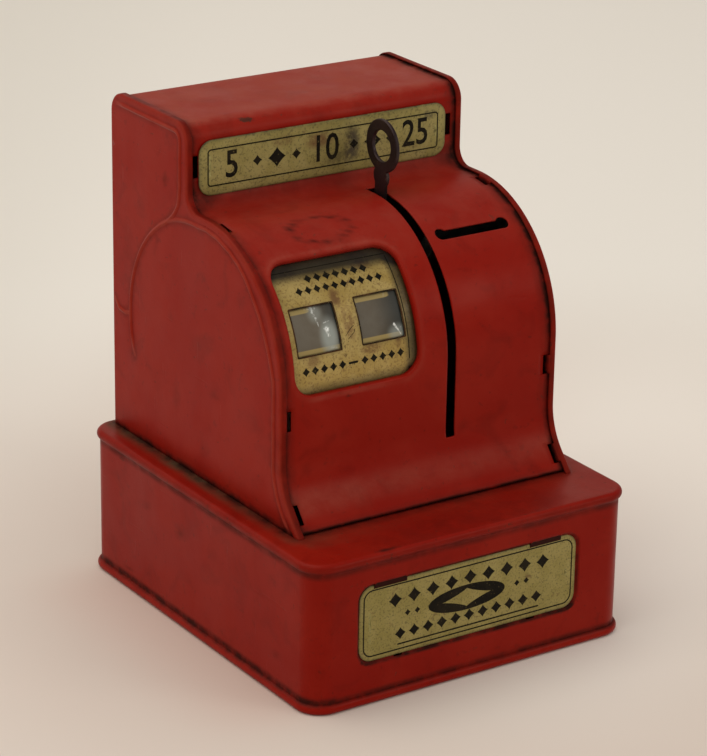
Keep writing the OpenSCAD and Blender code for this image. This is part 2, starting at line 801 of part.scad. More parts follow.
module bolt_guide() {
    low = base_h + guide_low;
    back = housing_back - flange_step - sheet;
    color(steel) difference() {
        translate([-bolt_w / 2 - 2.4, bolt_y - 2, low])
            cube([bolt_w + 4.8, back - bolt_y + 2, guide_h]);
        translate([-bolt_w / 2 - 0.3, bolt_y - 0.3, low - 1])
            cube([bolt_w + 0.6, bolt_t + 0.6, guide_h + 2]);
        translate([-bolt_w / 2 - 1, bolt_y - 4, low + guide_foot])
            cube([bolt_w + 2, back - bolt_y + 5, guide_h - guide_foot - guide_head]);
    }
}

module lever_handle() {
    color(dark) translate([lever_x, drum_y, drum_z]) rotate([lever_lean, 0, 0])
        rotate([90, 0, 90]) linear_extrude(part_t) difference() {
            union() {
                circle(7);
                translate([-stem_w / 2, 0]) square([stem_w, ring_dist - ring_id / 2 - 1]);
                translate([0, ring_dist]) circle(d = ring_od);
                translate([0, ring_dist - ring_od / 2 - 1.4]) circle(d = stem_w + 1.8);
            }
            circle(shaft_r);
            translate([0, ring_dist]) circle(d = ring_id);
        }
}

module lever_shaft() {
    color(steel) translate([shaft_x0, drum_y, drum_z]) rotate([0, 90, 0])
        cylinder(r = shaft_r, h = shaft_x1 - shaft_x0);
}

module drive_arm() {
    tip = polar(stud_dist, drive_stud_angle);
    color(steel) {
        along_x(drive_arm_x, part_t) difference() {
            union() {
                translate([drum_y, drum_z]) circle(6);
                translate([drum_y, drum_z]) rotate(drive_stud_angle)
                    translate([0, -pawl_eye_r]) square([stud_dist, 2 * pawl_eye_r]);
                translate(tip) circle(pawl_eye_r);
            }
            translate([drum_y, drum_z]) circle(shaft_r);
        }
        translate([cents_ratchet_x + 0.1, tip[0], tip[1]]) rotate([0, 90, 0])
            cylinder(r = stud_r, h = drive_arm_x - cents_ratchet_x);
    }
}

// The roller's place for a turn of the lever; the cam is drawn so that the gate turns in proportion
function follower_dir(turn) = gate_dir + 180 + follower_rest + gate_ratio * turn;
function roller_point(turn) = gate_pos + follower_len *
    [cos(follower_dir(turn)), sin(follower_dir(turn))];
function roller_dist(turn) = norm(roller_point(turn) - [drum_y, drum_z]);
function roller_dir(turn) = let (p = roller_point(turn) - [drum_y, drum_z]) atan2(p[1], p[0]);
function cam_point(turn) = (roller_dist(turn) - roller_r - 0.35) *
    [cos(roller_dir(turn) - turn), sin(roller_dir(turn) - turn)];

module gate_cam() {
    lead = 12;
    color(steel) along_x(cam_x, part_t) translate([drum_y, drum_z]) difference() {
        union() {
            circle(7);
            polygon(concat([[0, 0]], [for (t = [lever_turn + lead:-4:-lead]) cam_point(t)]));
        }
        circle(shaft_r);
    }
}

// Round wire wound into a helix along X, with a straight tail at each end
module coil(radius, wire_r, pitch, turns, sides, per_turn) {
    rings = turns * per_turn;
    function ring(i) = let (a = 360 * i / per_turn, x = pitch * i / per_turn)
        [for (j = [0:sides - 1]) let (b = 360 * j / sides)
            [x + wire_r * sin(b), (radius + wire_r * cos(b)) * cos(a),
                (radius + wire_r * cos(b)) * sin(a)]];
    points = [for (i = [0:rings]) for (p = ring(i)) p];
    body = [for (i = [0:rings - 1]) for (j = [0:sides - 1])
        let (n = (j + 1) % sides, a = i * sides, b = (i + 1) * sides)
        each [[a + j, b + j, b + n], [a + j, b + n, a + n]]];
    ends = concat([[for (j = [0:sides - 1]) j]],
        [[for (j = [sides - 1:-1:0]) rings * sides + j]]);
    polyhedron(points = points, faces = concat(body, ends), convexity = 8);
}

module lever_spring() {
    turns = 2.5;
    color(steel) translate([spring_x + spring_wire_r, drum_y, drum_z])
        coil(shaft_r + spring_wire_r + 0.5, spring_wire_r,
            (lever_x - spring_x - 1.4) / turns, turns, 6, 14);
}

module number_wheel(x) {
    rim_t = 0.6;
    color("ivory") translate([x, drum_y, drum_z]) rotate([0, 90, 0]) {
        difference() {
            cylinder(r = wheel_r, h = pane_w, $fn = 128);
            translate([0, 0, rim_t]) cylinder(r = wheel_r - rim_t, h = pane_w, $fn = 128);
            translate([0, 0, -1]) cylinder(r = shaft_r + run, h = pane_w);
            for (a = [0:60:300]) rotate([0, 0, a]) translate([wheel_r * 0.62, 0, -1])
                cylinder(r = 5, h = 3);
        }
        difference() {
            cylinder(r = 5.5, h = pane_w);
            translate([0, 0, -1]) cylinder(r = shaft_r + run, h = pane_w + 2);
        }
    }
}

// Ratchet with saw teeth: each tooth rises at once and falls back over one step
module ratchet(x) {
    pitch = 360 / steps;
    color(steel) along_x(x, part_t) translate([drum_y, drum_z]) difference() {
        polygon([for (i = [0:steps - 1]) each [
            (ratchet_r - tooth_h) * [cos(i * pitch), sin(i * pitch)],
            ratchet_r * [cos(i * pitch), sin(i * pitch)]]]);
        circle(shaft_r + run);
    }
}

module cents_wheel() {
    number_wheel(pane_right_x);
    pin = polar(carry_pin_dist, carry_pin_angle);
    color(steel) translate([pane_right_x - 1.8, pin[0], pin[1]]) rotate([0, 90, 0])
        cylinder(r = carry_pin_r, h = 2);
}

module cents_ratchet() {
    ratchet(cents_ratchet_x);
}

module dollars_wheel() {
    number_wheel(pane_left_x);
}

module dollars_ratchet() {
    ratchet(dollars_ratchet_x);
}

// A point near the drum axis, at a distance and angle from it
function near(r, a) = [r * cos(a), r * sin(a)];

// Pawl in the plane of a ratchet, lifted off the teeth; a line from the axis through nose meets
// the tooth face that its hooked end drops against
module pawl(x, nose) {
    low = ratchet_r - tooth_h + 0.5;
    high = ratchet_r + 0.45;
    stud_a = nose - pawl_span;
    color(steel) translate([0, drum_y, drum_z]) along_x(x + 0.1, part_t - 0.2)
        translate(near(stud_dist, stud_a)) rotate(-pawl_lift) translate(-near(stud_dist, stud_a))
            difference() {
                union() {
                    translate(near(stud_dist, stud_a)) circle(pawl_eye_r);
                    polygon([near(stud_dist + 1.9, stud_a + 4), near(high + 2, nose - 4),
                        near(high + 1, nose - 1), near(low + 0.3, nose - 1.2),
                        near(low, nose - 1.6), near(high, nose - 6),
                        near(stud_dist - 2.4, stud_a)]);
                }
                translate(near(stud_dist, stud_a)) circle(stud_r + run);
            }
}

module drive_pawl() {
    pawl(cents_ratchet_x, drive_nose);
}

module cents_check_pawl() {
    pawl(cents_ratchet_x, check_nose);
}

module dollars_check_pawl() {
    pawl(dollars_ratchet_x, check_nose);
}

// Carry lever: the cents wheel's pin kicks one arm, the finger then moves the dollars ratchet on
module carry_lever() {
    x0 = dollars_ratchet_x + 0.1;
    x1 = pane_right_x - 0.6;
    lean = carry_angle + 180 + carry_back;
    along = [cos(lean), sin(lean)];
    side = [-along[1], along[0]];
    color(steel) {
        translate([x0, carry_stud[0], carry_stud[1]]) rotate([0, 90, 0])
            cylinder(r = stud_r, h = x1 - x0);
        along_x(x0, 1) {
            translate(carry_stud) circle(pawl_eye_r);
            polygon([carry_stud + 2 * side, carry_stud - 2 * side,
                carry_stud + carry_finger * along - 0.4 * side,
                carry_stud + carry_finger * along + 0.4 * side]);
        }
        along_x(x1 - 1, 1) {
            translate(carry_stud) circle(pawl_eye_r);
            polygon([carry_stud + 2 * side, carry_stud - 2 * side,
                carry_stud + 6.5 * along - 0.8 * side, carry_stud + 6.5 * along + 0.8 * side]);
        }
    }
}

tail_r = 1;

// A tapered bar between two points of the Y Z plane, with a width at each
module bar(a, b, wa, wb) {
    side = [a[1] - b[1], b[0] - a[0]] / norm(b - a);
    polygon([a - side * wa / 2, b - side * wb / 2, b + side * wb / 2, a + side * wa / 2]);
}

module bell_hammer() {
    head = [bell_y - bell_r - 2.6, bell_z];
    tail = polar(arm_end_r + tail_r + pass, 66);
    color(steel) {
        along_x(drive_arm_x, part_t) difference() {
            union() {
                translate(hammer_stud) circle(pawl_eye_r);
                bar(hammer_stud, head, 3.2, 1.8);
                bar(hammer_stud, tail, 3.2, 2 * tail_r);
                translate(tail) circle(tail_r);
            }
            translate(hammer_stud) circle(stud_r + run);
        }
        translate([bell_x - 2.2, head[0], head[1]]) rotate([0, 90, 0])
            cylinder(r = 2.2, h = drive_arm_x + part_t - bell_x + 2.2);
    }
}

module coin_gate() {
    x0 = centre_frame_x - 0.3;
    x1 = chute_x + chute_w + 0.3;
    roller = roller_point(0);
    side = [-sin(follower_dir(0)), cos(follower_dir(0))];
    color(steel) {
        translate([x0, gate_pos[0], gate_pos[1]]) rotate([0, 90, 0])
            cylinder(r = gate_r, h = x1 - x0);
        along_x(cam_x, part_t) {
            translate(gate_pos) circle(3);
            polygon([gate_pos + 2.2 * side, gate_pos - 2.2 * side, roller - 1.2 * side,
                roller + 1.2 * side]);
            translate(roller) circle(roller_r);
        }
        in_chute() {
            translate([chute_x + 1, -chute_gap / 2 - 0.2, chute_low - 0.4 - sheet])
                cube([chute_w - 2, chute_gap / 2 + gate_back, sheet]);
            translate([chute_x + 1, gate_back - 1, chute_low - 0.4 - sheet])
                cube([chute_w - part_t - 2.4, 0.8, 1.2]);
        }
    }
}

module coin_feeler() {
    mid_x = chute_x + chute_w / 2;
    color(steel) in_chute() {
        translate([mid_x - 1, 0, 0]) rotate([90, 0, 90]) linear_extrude(2) {
            translate([6, 8]) circle(2.2);
            polygon([[4.6, 8], [4.6, -14], [6.4, -14], [7.4, 8]]);
            polygon([[6.4, -14], [4.9, -11], [-0.6, -13], [-0.6, -14]]);
        }
        translate([mid_x - 3.7, 6, 8]) rotate([0, 90, 0]) cylinder(r = 1 - run, h = 7.4);
    }
}

module drawer_tray() {
    wall = sheet;
    color(steel) difference() {
        translate([-drawer_w / 2, tray_front, tray_z]) cube([drawer_w, drawer_d, drawer_h]);
        translate([-drawer_w / 2 + wall, tray_front + wall, tray_z + wall])
            cube([drawer_w - 2 * wall, drawer_d - 2 * wall, drawer_h]);
        finger_hole();
    }
}

module finger_hole() {
    translate([0, back_wall_y + 2, tray_z + drawer_h / 2 + 2]) rotate([90, 0, 0])
        cylinder(r = pull_r, h = 5);
}

module drawer_front() {
    color(paint) difference() {
        union() {
            translate([-front_face_w / 2, back_wall_y - sheet, front_low])
                cube([front_face_w, sheet, front_high - front_low]);
            translate([-front_face_w / 2 + 2, bolt_y - 2, lip_z])
                cube([front_face_w - 4, back_wall_y - bolt_y + 1.5, sheet]);
        }
        finger_hole();
        translate([-bolt_w / 2 - 0.6, bolt_y - 0.6, lip_z - 1])
            cube([bolt_w + 1.2, bolt_t + 1.2, 3]);
    }
}

bolt_head_z = base_h + guide_low + guide_foot + 11.5;

module lock_bolt() {
    low = front_high + 0.6;
    color(steel) {
        translate([-bolt_stem_w / 2, bolt_y, low])
            cube([bolt_stem_w, bolt_t, bolt_head_z + 1 - low]);
        translate([-bolt_w / 2, bolt_y, bolt_head_z]) cube([bolt_w, bolt_t, bolt_plate_h]);
    }
}

module bolt_spring() {
    low = base_h + guide_low + guide_foot + 0.5;
    turns = 5;
    color(dark) translate([0, bolt_y + bolt_t / 2, low]) rotate([0, -90, 0])
        coil(bolt_spring_r, spring_wire_r, (bolt_head_z - 0.5 - low) / turns, turns, 6, 12);
}

base_shell();
bottom_plate();
base_nameplate();
left_side_panel();
right_side_panel();
front_wrap();
back_panel();
sign_plate();
window_mask();
dollars_pane();
cents_pane();
left_frame();
mid_frame();
centre_frame();
right_frame();
frame_rods();
frame_screws();
coin_chute();
bell();
bell_post();
drawer_rails();
bolt_guide();
lever_handle();
lever_shaft();
drive_arm();
gate_cam();
lever_spring();
drive_pawl();
cents_wheel();
cents_ratchet();
dollars_wheel();
dollars_ratchet();
cents_check_pawl();
dollars_check_pawl();
carry_lever();
bell_hammer();
coin_gate();
coin_feeler();
drawer_tray();
drawer_front();
lock_bolt();
bolt_spring();
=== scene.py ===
"""Looks of an old toy cash register bank: pressed red sheet metal, printed brass plates, ring lever.

Lengths are millimetres in the frame of the CAD model, +Z up and the front towards -Y. Only the stage, the
lights and places inside a material are metres. Colours are screen values from 0 to 255.
"""
import math
from functools import partial, partialmethod

import bmesh
import bpy
import numpy as np
from mathutils import Matrix
from mathutils.geometry import delaunay_2d_cdt


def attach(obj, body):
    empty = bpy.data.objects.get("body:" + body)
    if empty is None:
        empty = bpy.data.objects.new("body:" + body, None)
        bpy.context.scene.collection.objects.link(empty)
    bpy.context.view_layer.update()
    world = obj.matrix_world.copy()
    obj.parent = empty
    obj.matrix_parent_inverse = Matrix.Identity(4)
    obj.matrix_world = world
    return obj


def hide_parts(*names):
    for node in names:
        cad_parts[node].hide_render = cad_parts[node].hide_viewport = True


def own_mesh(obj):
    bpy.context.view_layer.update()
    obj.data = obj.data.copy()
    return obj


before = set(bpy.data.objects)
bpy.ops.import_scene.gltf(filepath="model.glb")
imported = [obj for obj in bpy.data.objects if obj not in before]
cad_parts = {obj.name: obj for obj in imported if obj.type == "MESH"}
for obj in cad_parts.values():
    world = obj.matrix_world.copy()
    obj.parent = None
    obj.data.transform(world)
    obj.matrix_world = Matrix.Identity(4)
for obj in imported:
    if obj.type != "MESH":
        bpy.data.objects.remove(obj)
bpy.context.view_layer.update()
MM = 0.001

# Base: wall, corners, bead at the ledge, rolled rim at the foot and opening for the drawer
BASE_W, BASE_D, LEDGE_Z, CORNER_R = 115.1, 131.6, 48.2, 7.5
BEAD_R, BEAD_OUT, RIM_R, RIM_FLAT = 1.6, 1.0, 1.65, 0.05
DRAWER_X, DRAWER_LOW, DRAWER_HIGH = 45.8, 5.85, 39.9
UNDER_BEAD, BELOW_BEAD, BOTTOM_Z, BOTTOM_SAG = 46.6, 44.6, 1.45, 0.35

# Housing: side outline, sheet, flange, rolled edge and pressed lines
HOUSING_X, TOP_Z, BACK_Y, SIGN_Y = 50.35, 158.75, 63.5, 17.65
DRUM, DRUM_R, TOP_R, NECK_R = np.array([6.8, 89.4]), 42.7, 6.5, 5.5
FLARE_R, FLARE_DEG, FLARE_TOP = 21.0, 41.0, 68.2
SHEET, FLANGE_W, FLANGE_STEP, ROLL_DEPTH, ROLL_WIDTH = 0.5, 2.3, 0.8, 2.0, 0.9
RING_C, RING_R, RIDGE_H, RIDGE_W = np.array([13.0, 89.4]), 39.3, 0.5, 0.85
SIDE_FINE = 1.4

# Front sheet: slots of the fixing tabs, window with its rolled lip, coin slot, lever slot, sign slots
TAB_X, TAB_SLOT_W, TAB_LEN = 48.05, 2.6, 6.4
WINDOW_X, WINDOW_W, WINDOW_H, WINDOW_R, WINDOW_DEG = -22.25, 43.5, 40.04, 6.0, 26.5
LIP_R, LIP_EASE = 0.8, 0.35
COIN_LEFT, COIN_RIGHT, COIN_R, COIN_RISE, COIN_DEG = 18.45, 41.25, 2.15, 1.2, 54.0
LEVER_SLOT_X, LEVER_SLOT_W, LEVER_SLOT_LOW, LEVER_SLOT_PAST = 11.4, 3.3, 64.4, 4.2
SIGN_SLOT_X, SIGN_SLOT_Z, SIGN_SLOT_W, SIGN_SLOT_H = 46.1, 144.9, 2.6, 7.0
WRAP_X, WRAP_END_Z, TOP_BEND_Z, NECK_BEND_Z = 49.0, 144.25, 157.0, 134.5

# Plates, window mask and panes
NAME_X, NAME_Z, NAME_W, NAME_H = -1.3, 25.6, 79.4, 24.5
NAME_SLOTS, NAME_SLOT_W, NAME_TABS, NAME_TAB_W = (-25.6, 23.1), 3.0, (-36.0, 20.6), 11.7
SIGN_X, SIGN_Z, SIGN_W, SIGN_H, PLATE_R = -0.9, 144.1, 90.0, 17.4, 4.5
MASK_R, PANE_X, PANE_W, PANE_DEG, PANE_SPAN = 39.95, (-41.6, -18.9), 15.0, 24.25, 20.5
NUMBER_SIZE, NUMBER_STRETCH, BORDER_W = 12.0, 0.86, 0.45

# Points closer than WELD are joined; the other three keep points apart from loops and from each other
WELD, LOOP_GAP, FREE_LOOP_GAP, FREE_GAP = 0.002, 0.45, 0.4, 1.0
NO_GRID = [-999.0]
FRONT = (0.0, -1.0, 0.0)


# Outlines and sheets

def arc(centre, radius, start, stop, count):
    """Points on a circle: centre + radius (cos a, sin a), a in degrees, last point left out."""
    a = np.radians(np.linspace(start, stop, count, endpoint=False))
    return np.stack([centre[0] + radius * np.cos(a), centre[1] + radius * np.sin(a)], 1)


def line(a, b, count):
    """Points from a towards b at equal steps, b left out."""
    t = np.linspace(0, 1, count, endpoint=False)[:, None]
    return np.asarray(a) * (1 - t) + np.asarray(b) * t


def housing_outline(inset, low=LEDGE_Z, fine=1.0):
    """Side outline of the housing drawn inset: foot, flare, front, drum, neck, sign face, top and back.

    Arcs about a centre outside the housing grow by the inset and the others shrink by it.
    """
    c, s = math.cos(math.radians(FLARE_DEG)), math.sin(math.radians(FLARE_DEG))
    flare = (DRUM[0] - DRUM_R - FLARE_R, FLARE_TOP)
    bend = (flare[0] + (FLARE_R + inset) * c, flare[1] - (FLARE_R + inset) * s)
    foot = (bend[0] - (bend[1] - low) * s / c, low)
    front, neck = DRUM[0] - DRUM_R + inset, (SIGN_Y - NECK_R, DRUM[1] + DRUM_R + NECK_R)
    step, crown, corner = neck[1] - NECK_R - inset, TOP_Z - TOP_R, TOP_R - inset
    top, back = TOP_Z - inset, BACK_Y - inset
    runs = [
        (line, foot, bend, 12),
        (arc, flare, FLARE_R + inset, -FLARE_DEG, 0, 20),
        (line, (front, FLARE_TOP), (front, DRUM[1]), 14),
        (arc, DRUM, DRUM_R - inset, 180, 90, 60),
        (line, (DRUM[0], step), (neck[0], step), 5),
        (arc, neck, NECK_R + inset, -90, 0, 14),
        (line, (SIGN_Y + inset, neck[1]), (SIGN_Y + inset, crown), 12),
        (arc, (SIGN_Y + TOP_R, crown), corner, 180, 90, 14),
        (line, (SIGN_Y + TOP_R, top), (BACK_Y - TOP_R, top), 18),
        (arc, (BACK_Y - TOP_R, crown), corner, 90, 0, 14),
        (line, (back, crown), (back, low), 50)]
    parts = [make(*places, max(2, int(round(count * fine)))) for make, *places, count in runs]
    return np.concatenate(parts + [[(back, low)]])


def run_of(points):
    """Length along a polyline up to each of its points."""
    return np.concatenate([[0], np.cumsum(np.linalg.norm(np.diff(points, axis=0), axis=1))])


WRAP = housing_outline(FLANGE_STEP, LEDGE_Z + 0.7, 6)
WRAP_RUN = run_of(WRAP)
tangent = np.gradient(WRAP, axis=0)
tangent /= np.linalg.norm(tangent, axis=1)[:, None]
WRAP_OUT = np.stack([-tangent[:, 1], tangent[:, 0]], 1)
SHEET_R = DRUM_R - FLANGE_STEP


def run_at(z=None, deg=None):
    """Run along the front sheet at a height, or at an angle of the drum."""
    if deg is not None:
        a = math.radians(deg)
        y, z = DRUM[0] - SHEET_R * math.cos(a), DRUM[1] + SHEET_R * math.sin(a)
        return float(WRAP_RUN[np.argmin(np.hypot(WRAP[:, 0] - y, WRAP[:, 1] - z))])
    front = np.arange(len(WRAP)) < np.argmax(WRAP[:, 1] > TOP_Z - FLANGE_STEP - 0.01)
    return float(WRAP_RUN[np.argmin(np.where(front, np.abs(WRAP[:, 1] - z), 1e9))])


DRUM_START = run_at(deg=0.0)
TAB_RUNS = (run_at(deg=82.0), run_at(z=81.0), run_at(z=53.4))


def on_wrap(u, v, depth=0.0):
    """Point of the front sheet: u is X, v the run along its section, depth goes inwards."""
    y, z, ny, nz = (np.interp(v, WRAP_RUN, table[:, k]) for table in (WRAP, WRAP_OUT) for k in (0, 1))
    return np.stack([u, y - ny * depth, z - nz * depth], 1)


def on_mask(u, v, depth=0.0):
    """Point of the window mask: u is X, v the angle above the horizontal in degrees, on a cylinder."""
    a, r = np.radians(v), MASK_R - depth
    return np.stack([u, DRUM[0] - r * np.cos(a), DRUM[1] + r * np.sin(a)], 1)


def on_plane(flat, y):
    """Carries flat (x, z) points to a plane that faces the front."""
    return np.column_stack([flat[:, 0], np.full(len(flat), y), flat[:, 1]])


def on_mask_print(flat):
    """Carries flat points, from the middle of the panes, to a hair in front of the window mask."""
    return on_mask(flat[:, 0], PANE_DEG + np.degrees(flat[:, 1] / MASK_R), -0.03)


def rounded(w, h, r, steps=8, cx=0.0, cy=0.0):
    """Closed loop round a rounded rectangle: four quarter circles joined by straight sides."""
    out = []
    for k, (sx, sy) in enumerate(((1, 1), (-1, 1), (-1, -1), (1, -1))):
        t, x, y = np.radians(np.linspace(90 * k, 90 * k + 90, steps + 1)), sx * (w / 2 - r), sy * (h / 2 - r)
        out.append(np.stack([cx + x + r * np.cos(t), cy + y + r * np.sin(t)], 1))
    return np.concatenate(out)


def rounded_even(w, h, r):
    """Rounded rectangle with points along its sides, as many whatever its size."""
    loop = rounded(w, h, r)
    out = []
    for k in range(4):
        out.append(loop[9 * k:9 * k + 9])
        out.append(line(loop[9 * k + 8], loop[(9 * k + 9) % 36], 24 if k % 2 == 0 else 8)[1:])
    return np.concatenate(out)


def rounded_gap(x, z, w, h, r):
    """Signed distance to a rounded rectangle, negative within."""
    qx, qz = np.abs(x) - w / 2 + r, np.abs(z) - h / 2 + r
    return np.hypot(np.maximum(qx, 0), np.maximum(qz, 0)) + np.minimum(np.maximum(qx, qz), 0) - r


def closely(loop, step):
    """The same closed loop with points at most one step apart."""
    out = []
    for a, b in zip(loop, np.roll(loop, -1, 0)):
        out.append(line(a, b, max(1, int(math.ceil(np.hypot(*(b - a)) / step)))))
    out = np.concatenate(out)
    return out[np.hypot(*(out - np.roll(out, 1, 0)).T) > 1e-4]


def oval_loop(cx, cz, a, b, power=1.0, count=48):
    """Closed loop |x/a|^(2/power) + |z/b|^(2/power) = 1: an ellipse, or a lozenge with bowed sides."""
    t = np.linspace(0, 2 * np.pi, count, endpoint=False)
    c, s = np.cos(t), np.sin(t)
    return np.stack([cx + a * np.sign(c) * np.abs(c) ** power, cz + b * np.sign(s) * np.abs(s) ** power], 1)


diamond = partial(oval_loop, power=2.4, count=32)


def stroke(path, width):
    """Closed loop round a thin line: the path at half a width to both sides."""
    way = np.gradient(path, axis=0)
    way /= np.hypot(*way.T)[:, None]
    aside = np.stack([-way[:, 1], way[:, 0]], 1) * width / 2
    return np.concatenate([path + aside, (path - aside)[::-1]])[::-1]


def lattice(us, vs):
    """All pairs of two lists of values, as two long lists."""
    return [values.ravel() for values in np.meshgrid(us, vs, indexing="ij")]


def nearest(points, others):
    """Distance from each point to the nearest of some others, in blocks to save memory."""
    return np.concatenate([np.min(np.hypot(block[:, 0][:, None] - others[:, 0],
                                           block[:, 1][:, None] - others[:, 1]), 1)
                           for block in np.array_split(points, 1 + len(points) // 2000)])


def inside(points, loop):
    """True where a point lies within a closed loop, by counting the sides that a ray crosses."""
    x, y = points[:, 0][:, None], points[:, 1][:, None]
    a, b = loop, np.roll(loop, -1, 0)
    dy = np.where(b[:, 1] == a[:, 1], 1e-12, b[:, 1] - a[:, 1])
    hit = ((a[:, 1] > y) != (b[:, 1] > y)) & (x < (b[:, 0] - a[:, 0]) * (y - a[:, 1]) / dy + a[:, 0])
    return hit.sum(1) % 2 == 1


def on_sheet(points, outline, holes):
    """True where a point lies within the outline and in none of the holes."""
    good = inside(points, outline)
    for hole in holes:
        good &= ~inside(points, hole)
    return good


def pierced_sheet(outline, holes, lines_u, lines_v, guides=(), free=None):
    """Flat triangles of a sheet with holes in it, from a grid of points and the loops as fixed edges.

    Free points are added as they are, and the grid keeps its distance from them.
    """
    loops = [outline, *holes, *guides]
    grid = np.stack(lattice(lines_u, lines_v), 1)
    keep = on_sheet(grid, outline, holes)
    for loop in loops:
        keep &= nearest(grid, loop) > LOOP_GAP
    grid = grid[keep]
    if free is not None:
        free = free[inside(free, outline) & (nearest(free, outline) > FREE_LOOP_GAP)]
        grid = np.concatenate([grid[nearest(grid, free[::3]) > FREE_GAP], free])
    edges, first = [], len(grid)
    for loop in loops:
        k = np.arange(len(loop))
        edges += np.stack([first + k, first + np.roll(k, -1)], 1).tolist()
        first += len(loop)
    points = [tuple(p) for p in np.concatenate([grid] + loops)]
    flat, _, faces, *_ = delaunay_2d_cdt(points, edges, [], 0, 1e-5)
    flat, faces = np.array([tuple(p) for p in flat]), np.array(faces)
    return flat, faces[on_sheet(flat[faces].mean(1), outline, holes)]


def gap_and_run(points, path):
    """Distance from each point to a polyline, and the run along it up to the nearest place."""
    a, d, start = path[:-1], np.diff(path, axis=0), run_of(path)
    gap, run = np.full(len(points), 1e9), np.zeros(len(points))
    for k in range(len(a)):
        length = np.hypot(*d[k])
        t = np.clip(((points - a[k]) @ d[k]) / length ** 2, 0, 1)
        here = np.hypot(*(points - a[k] - t[:, None] * d[k]).T)
        near = here < gap
        gap, run = np.where(near, here, gap), np.where(near, start[k] + t * length, run)
    return gap, run


def beside(path, offsets, step):
    """Points at some distances to both sides of a polyline, at equal steps along it."""
    run = run_of(path)
    at = np.arange(0, run[-1], step)
    x, y = np.interp(at, run, path[:, 0]), np.interp(at, run, path[:, 1])
    way = np.stack([np.gradient(x), np.gradient(y)], 1)
    way /= np.hypot(*way.T)[:, None]
    return np.concatenate([np.stack([x - way[:, 1] * o, y + way[:, 0] * o], 1) for o in offsets])


def ramp(value, low, high):
    """Smooth step from 0 at low to 1 at high."""
    t = np.clip((np.asarray(value, float) - low) / (high - low), 0, 1)
    return t * t * (3 - 2 * t)


def blot(x, y, cx, cy, rx, ry):
    """Soft oval spot: 1 at its middle and 0 from its rim on."""
    return ramp(np.hypot((x - cx) / rx, (y - cy) / ry), 1.0, 0.25)


def blots(x, y, table):
    """Sum of soft oval spots, each (strength, middle x, middle y, radius x, radius y)."""
    return sum(strength * blot(x, y, *place) for strength, *place in table)


def between(value, low, high):
    """True where a value lies between two others."""
    return (value > low) & (value < high)


def grid_faces(rows, cols, closed=False, start=0):
    """Four-sided faces of points numbered row by row; closed joins the last column to the first."""
    r, c = lattice(np.arange(rows - 1) * cols + start, np.arange(cols if closed else cols - 1))
    n = (c + 1) % cols
    return np.stack([r + c, r + n, r + cols + n, r + cols + c], 1)


def facing(points, faces, aim=None, hub=None):
    """Turns all the faces over if they look, taken together, away from an aim or towards a hub."""
    a, b, c = (points[faces[:, k]] for k in range(3))
    look = np.asarray(aim) if hub is None else a - hub
    return faces if (np.cross(b - a, c - a) * look).sum() > 0 else faces[:, ::-1]


def link(name, data):
    """A new object in the scene."""
    ob = bpy.data.objects.new(name, data)
    bpy.context.scene.collection.objects.link(ob)
    return ob


def smooth_object(name, mesh, material):
    """A smooth mesh of one material in the scene."""
    mesh.materials.clear()
    mesh.materials.append(material)
    mesh.polygons.foreach_set("use_smooth", [True] * len(mesh.polygons))
    mesh.update()
    return link(name, mesh)


def piece(name, points, faces, material, nodes=(), out=None, thick=0.0, **values):
    """Makes a piece of the housing from arrays, with its vertex values, and turns its faces outwards.

    Points in the same place are joined, so that shading runs on across the seam.
    """
    groups = faces if isinstance(faces, list) else [faces]
    if out is not None:
        groups = [facing(points, group, out) for group in groups]
    _, first, back = np.unique(np.round(points / WELD).astype(np.int64), axis=0,
                               return_index=True, return_inverse=True)
    mesh = bpy.data.meshes.new(name)
    joined = [face for group in groups for face in back.ravel()[group].tolist()]
    mesh.from_pydata((points[first] * MM).tolist(), [], joined)
    for key, value in values.items():
        mesh.attributes.new(key, "FLOAT", "POINT").data.foreach_set("value", np.float32(value)[first])
    ob = smooth_object(name, mesh, material)
    if thick:
        wall = ob.modifiers.new("Wall", "SOLIDIFY")
        wall.thickness, wall.offset, wall.use_even_offset = thick * MM, -1, False
    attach(ob, "housing")
    if nodes:
        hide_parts(*nodes)


# Materials

def colour(r, g, b):
    """Linear colour from the usual 0 to 255 screen values."""
    c = np.array([r, g, b]) / 255.0
    c = np.where(c <= 0.04045, c / 12.92, ((c + 0.055) / 1.055) ** 2.4)
    return (*[float(x) for x in c], 1.0)


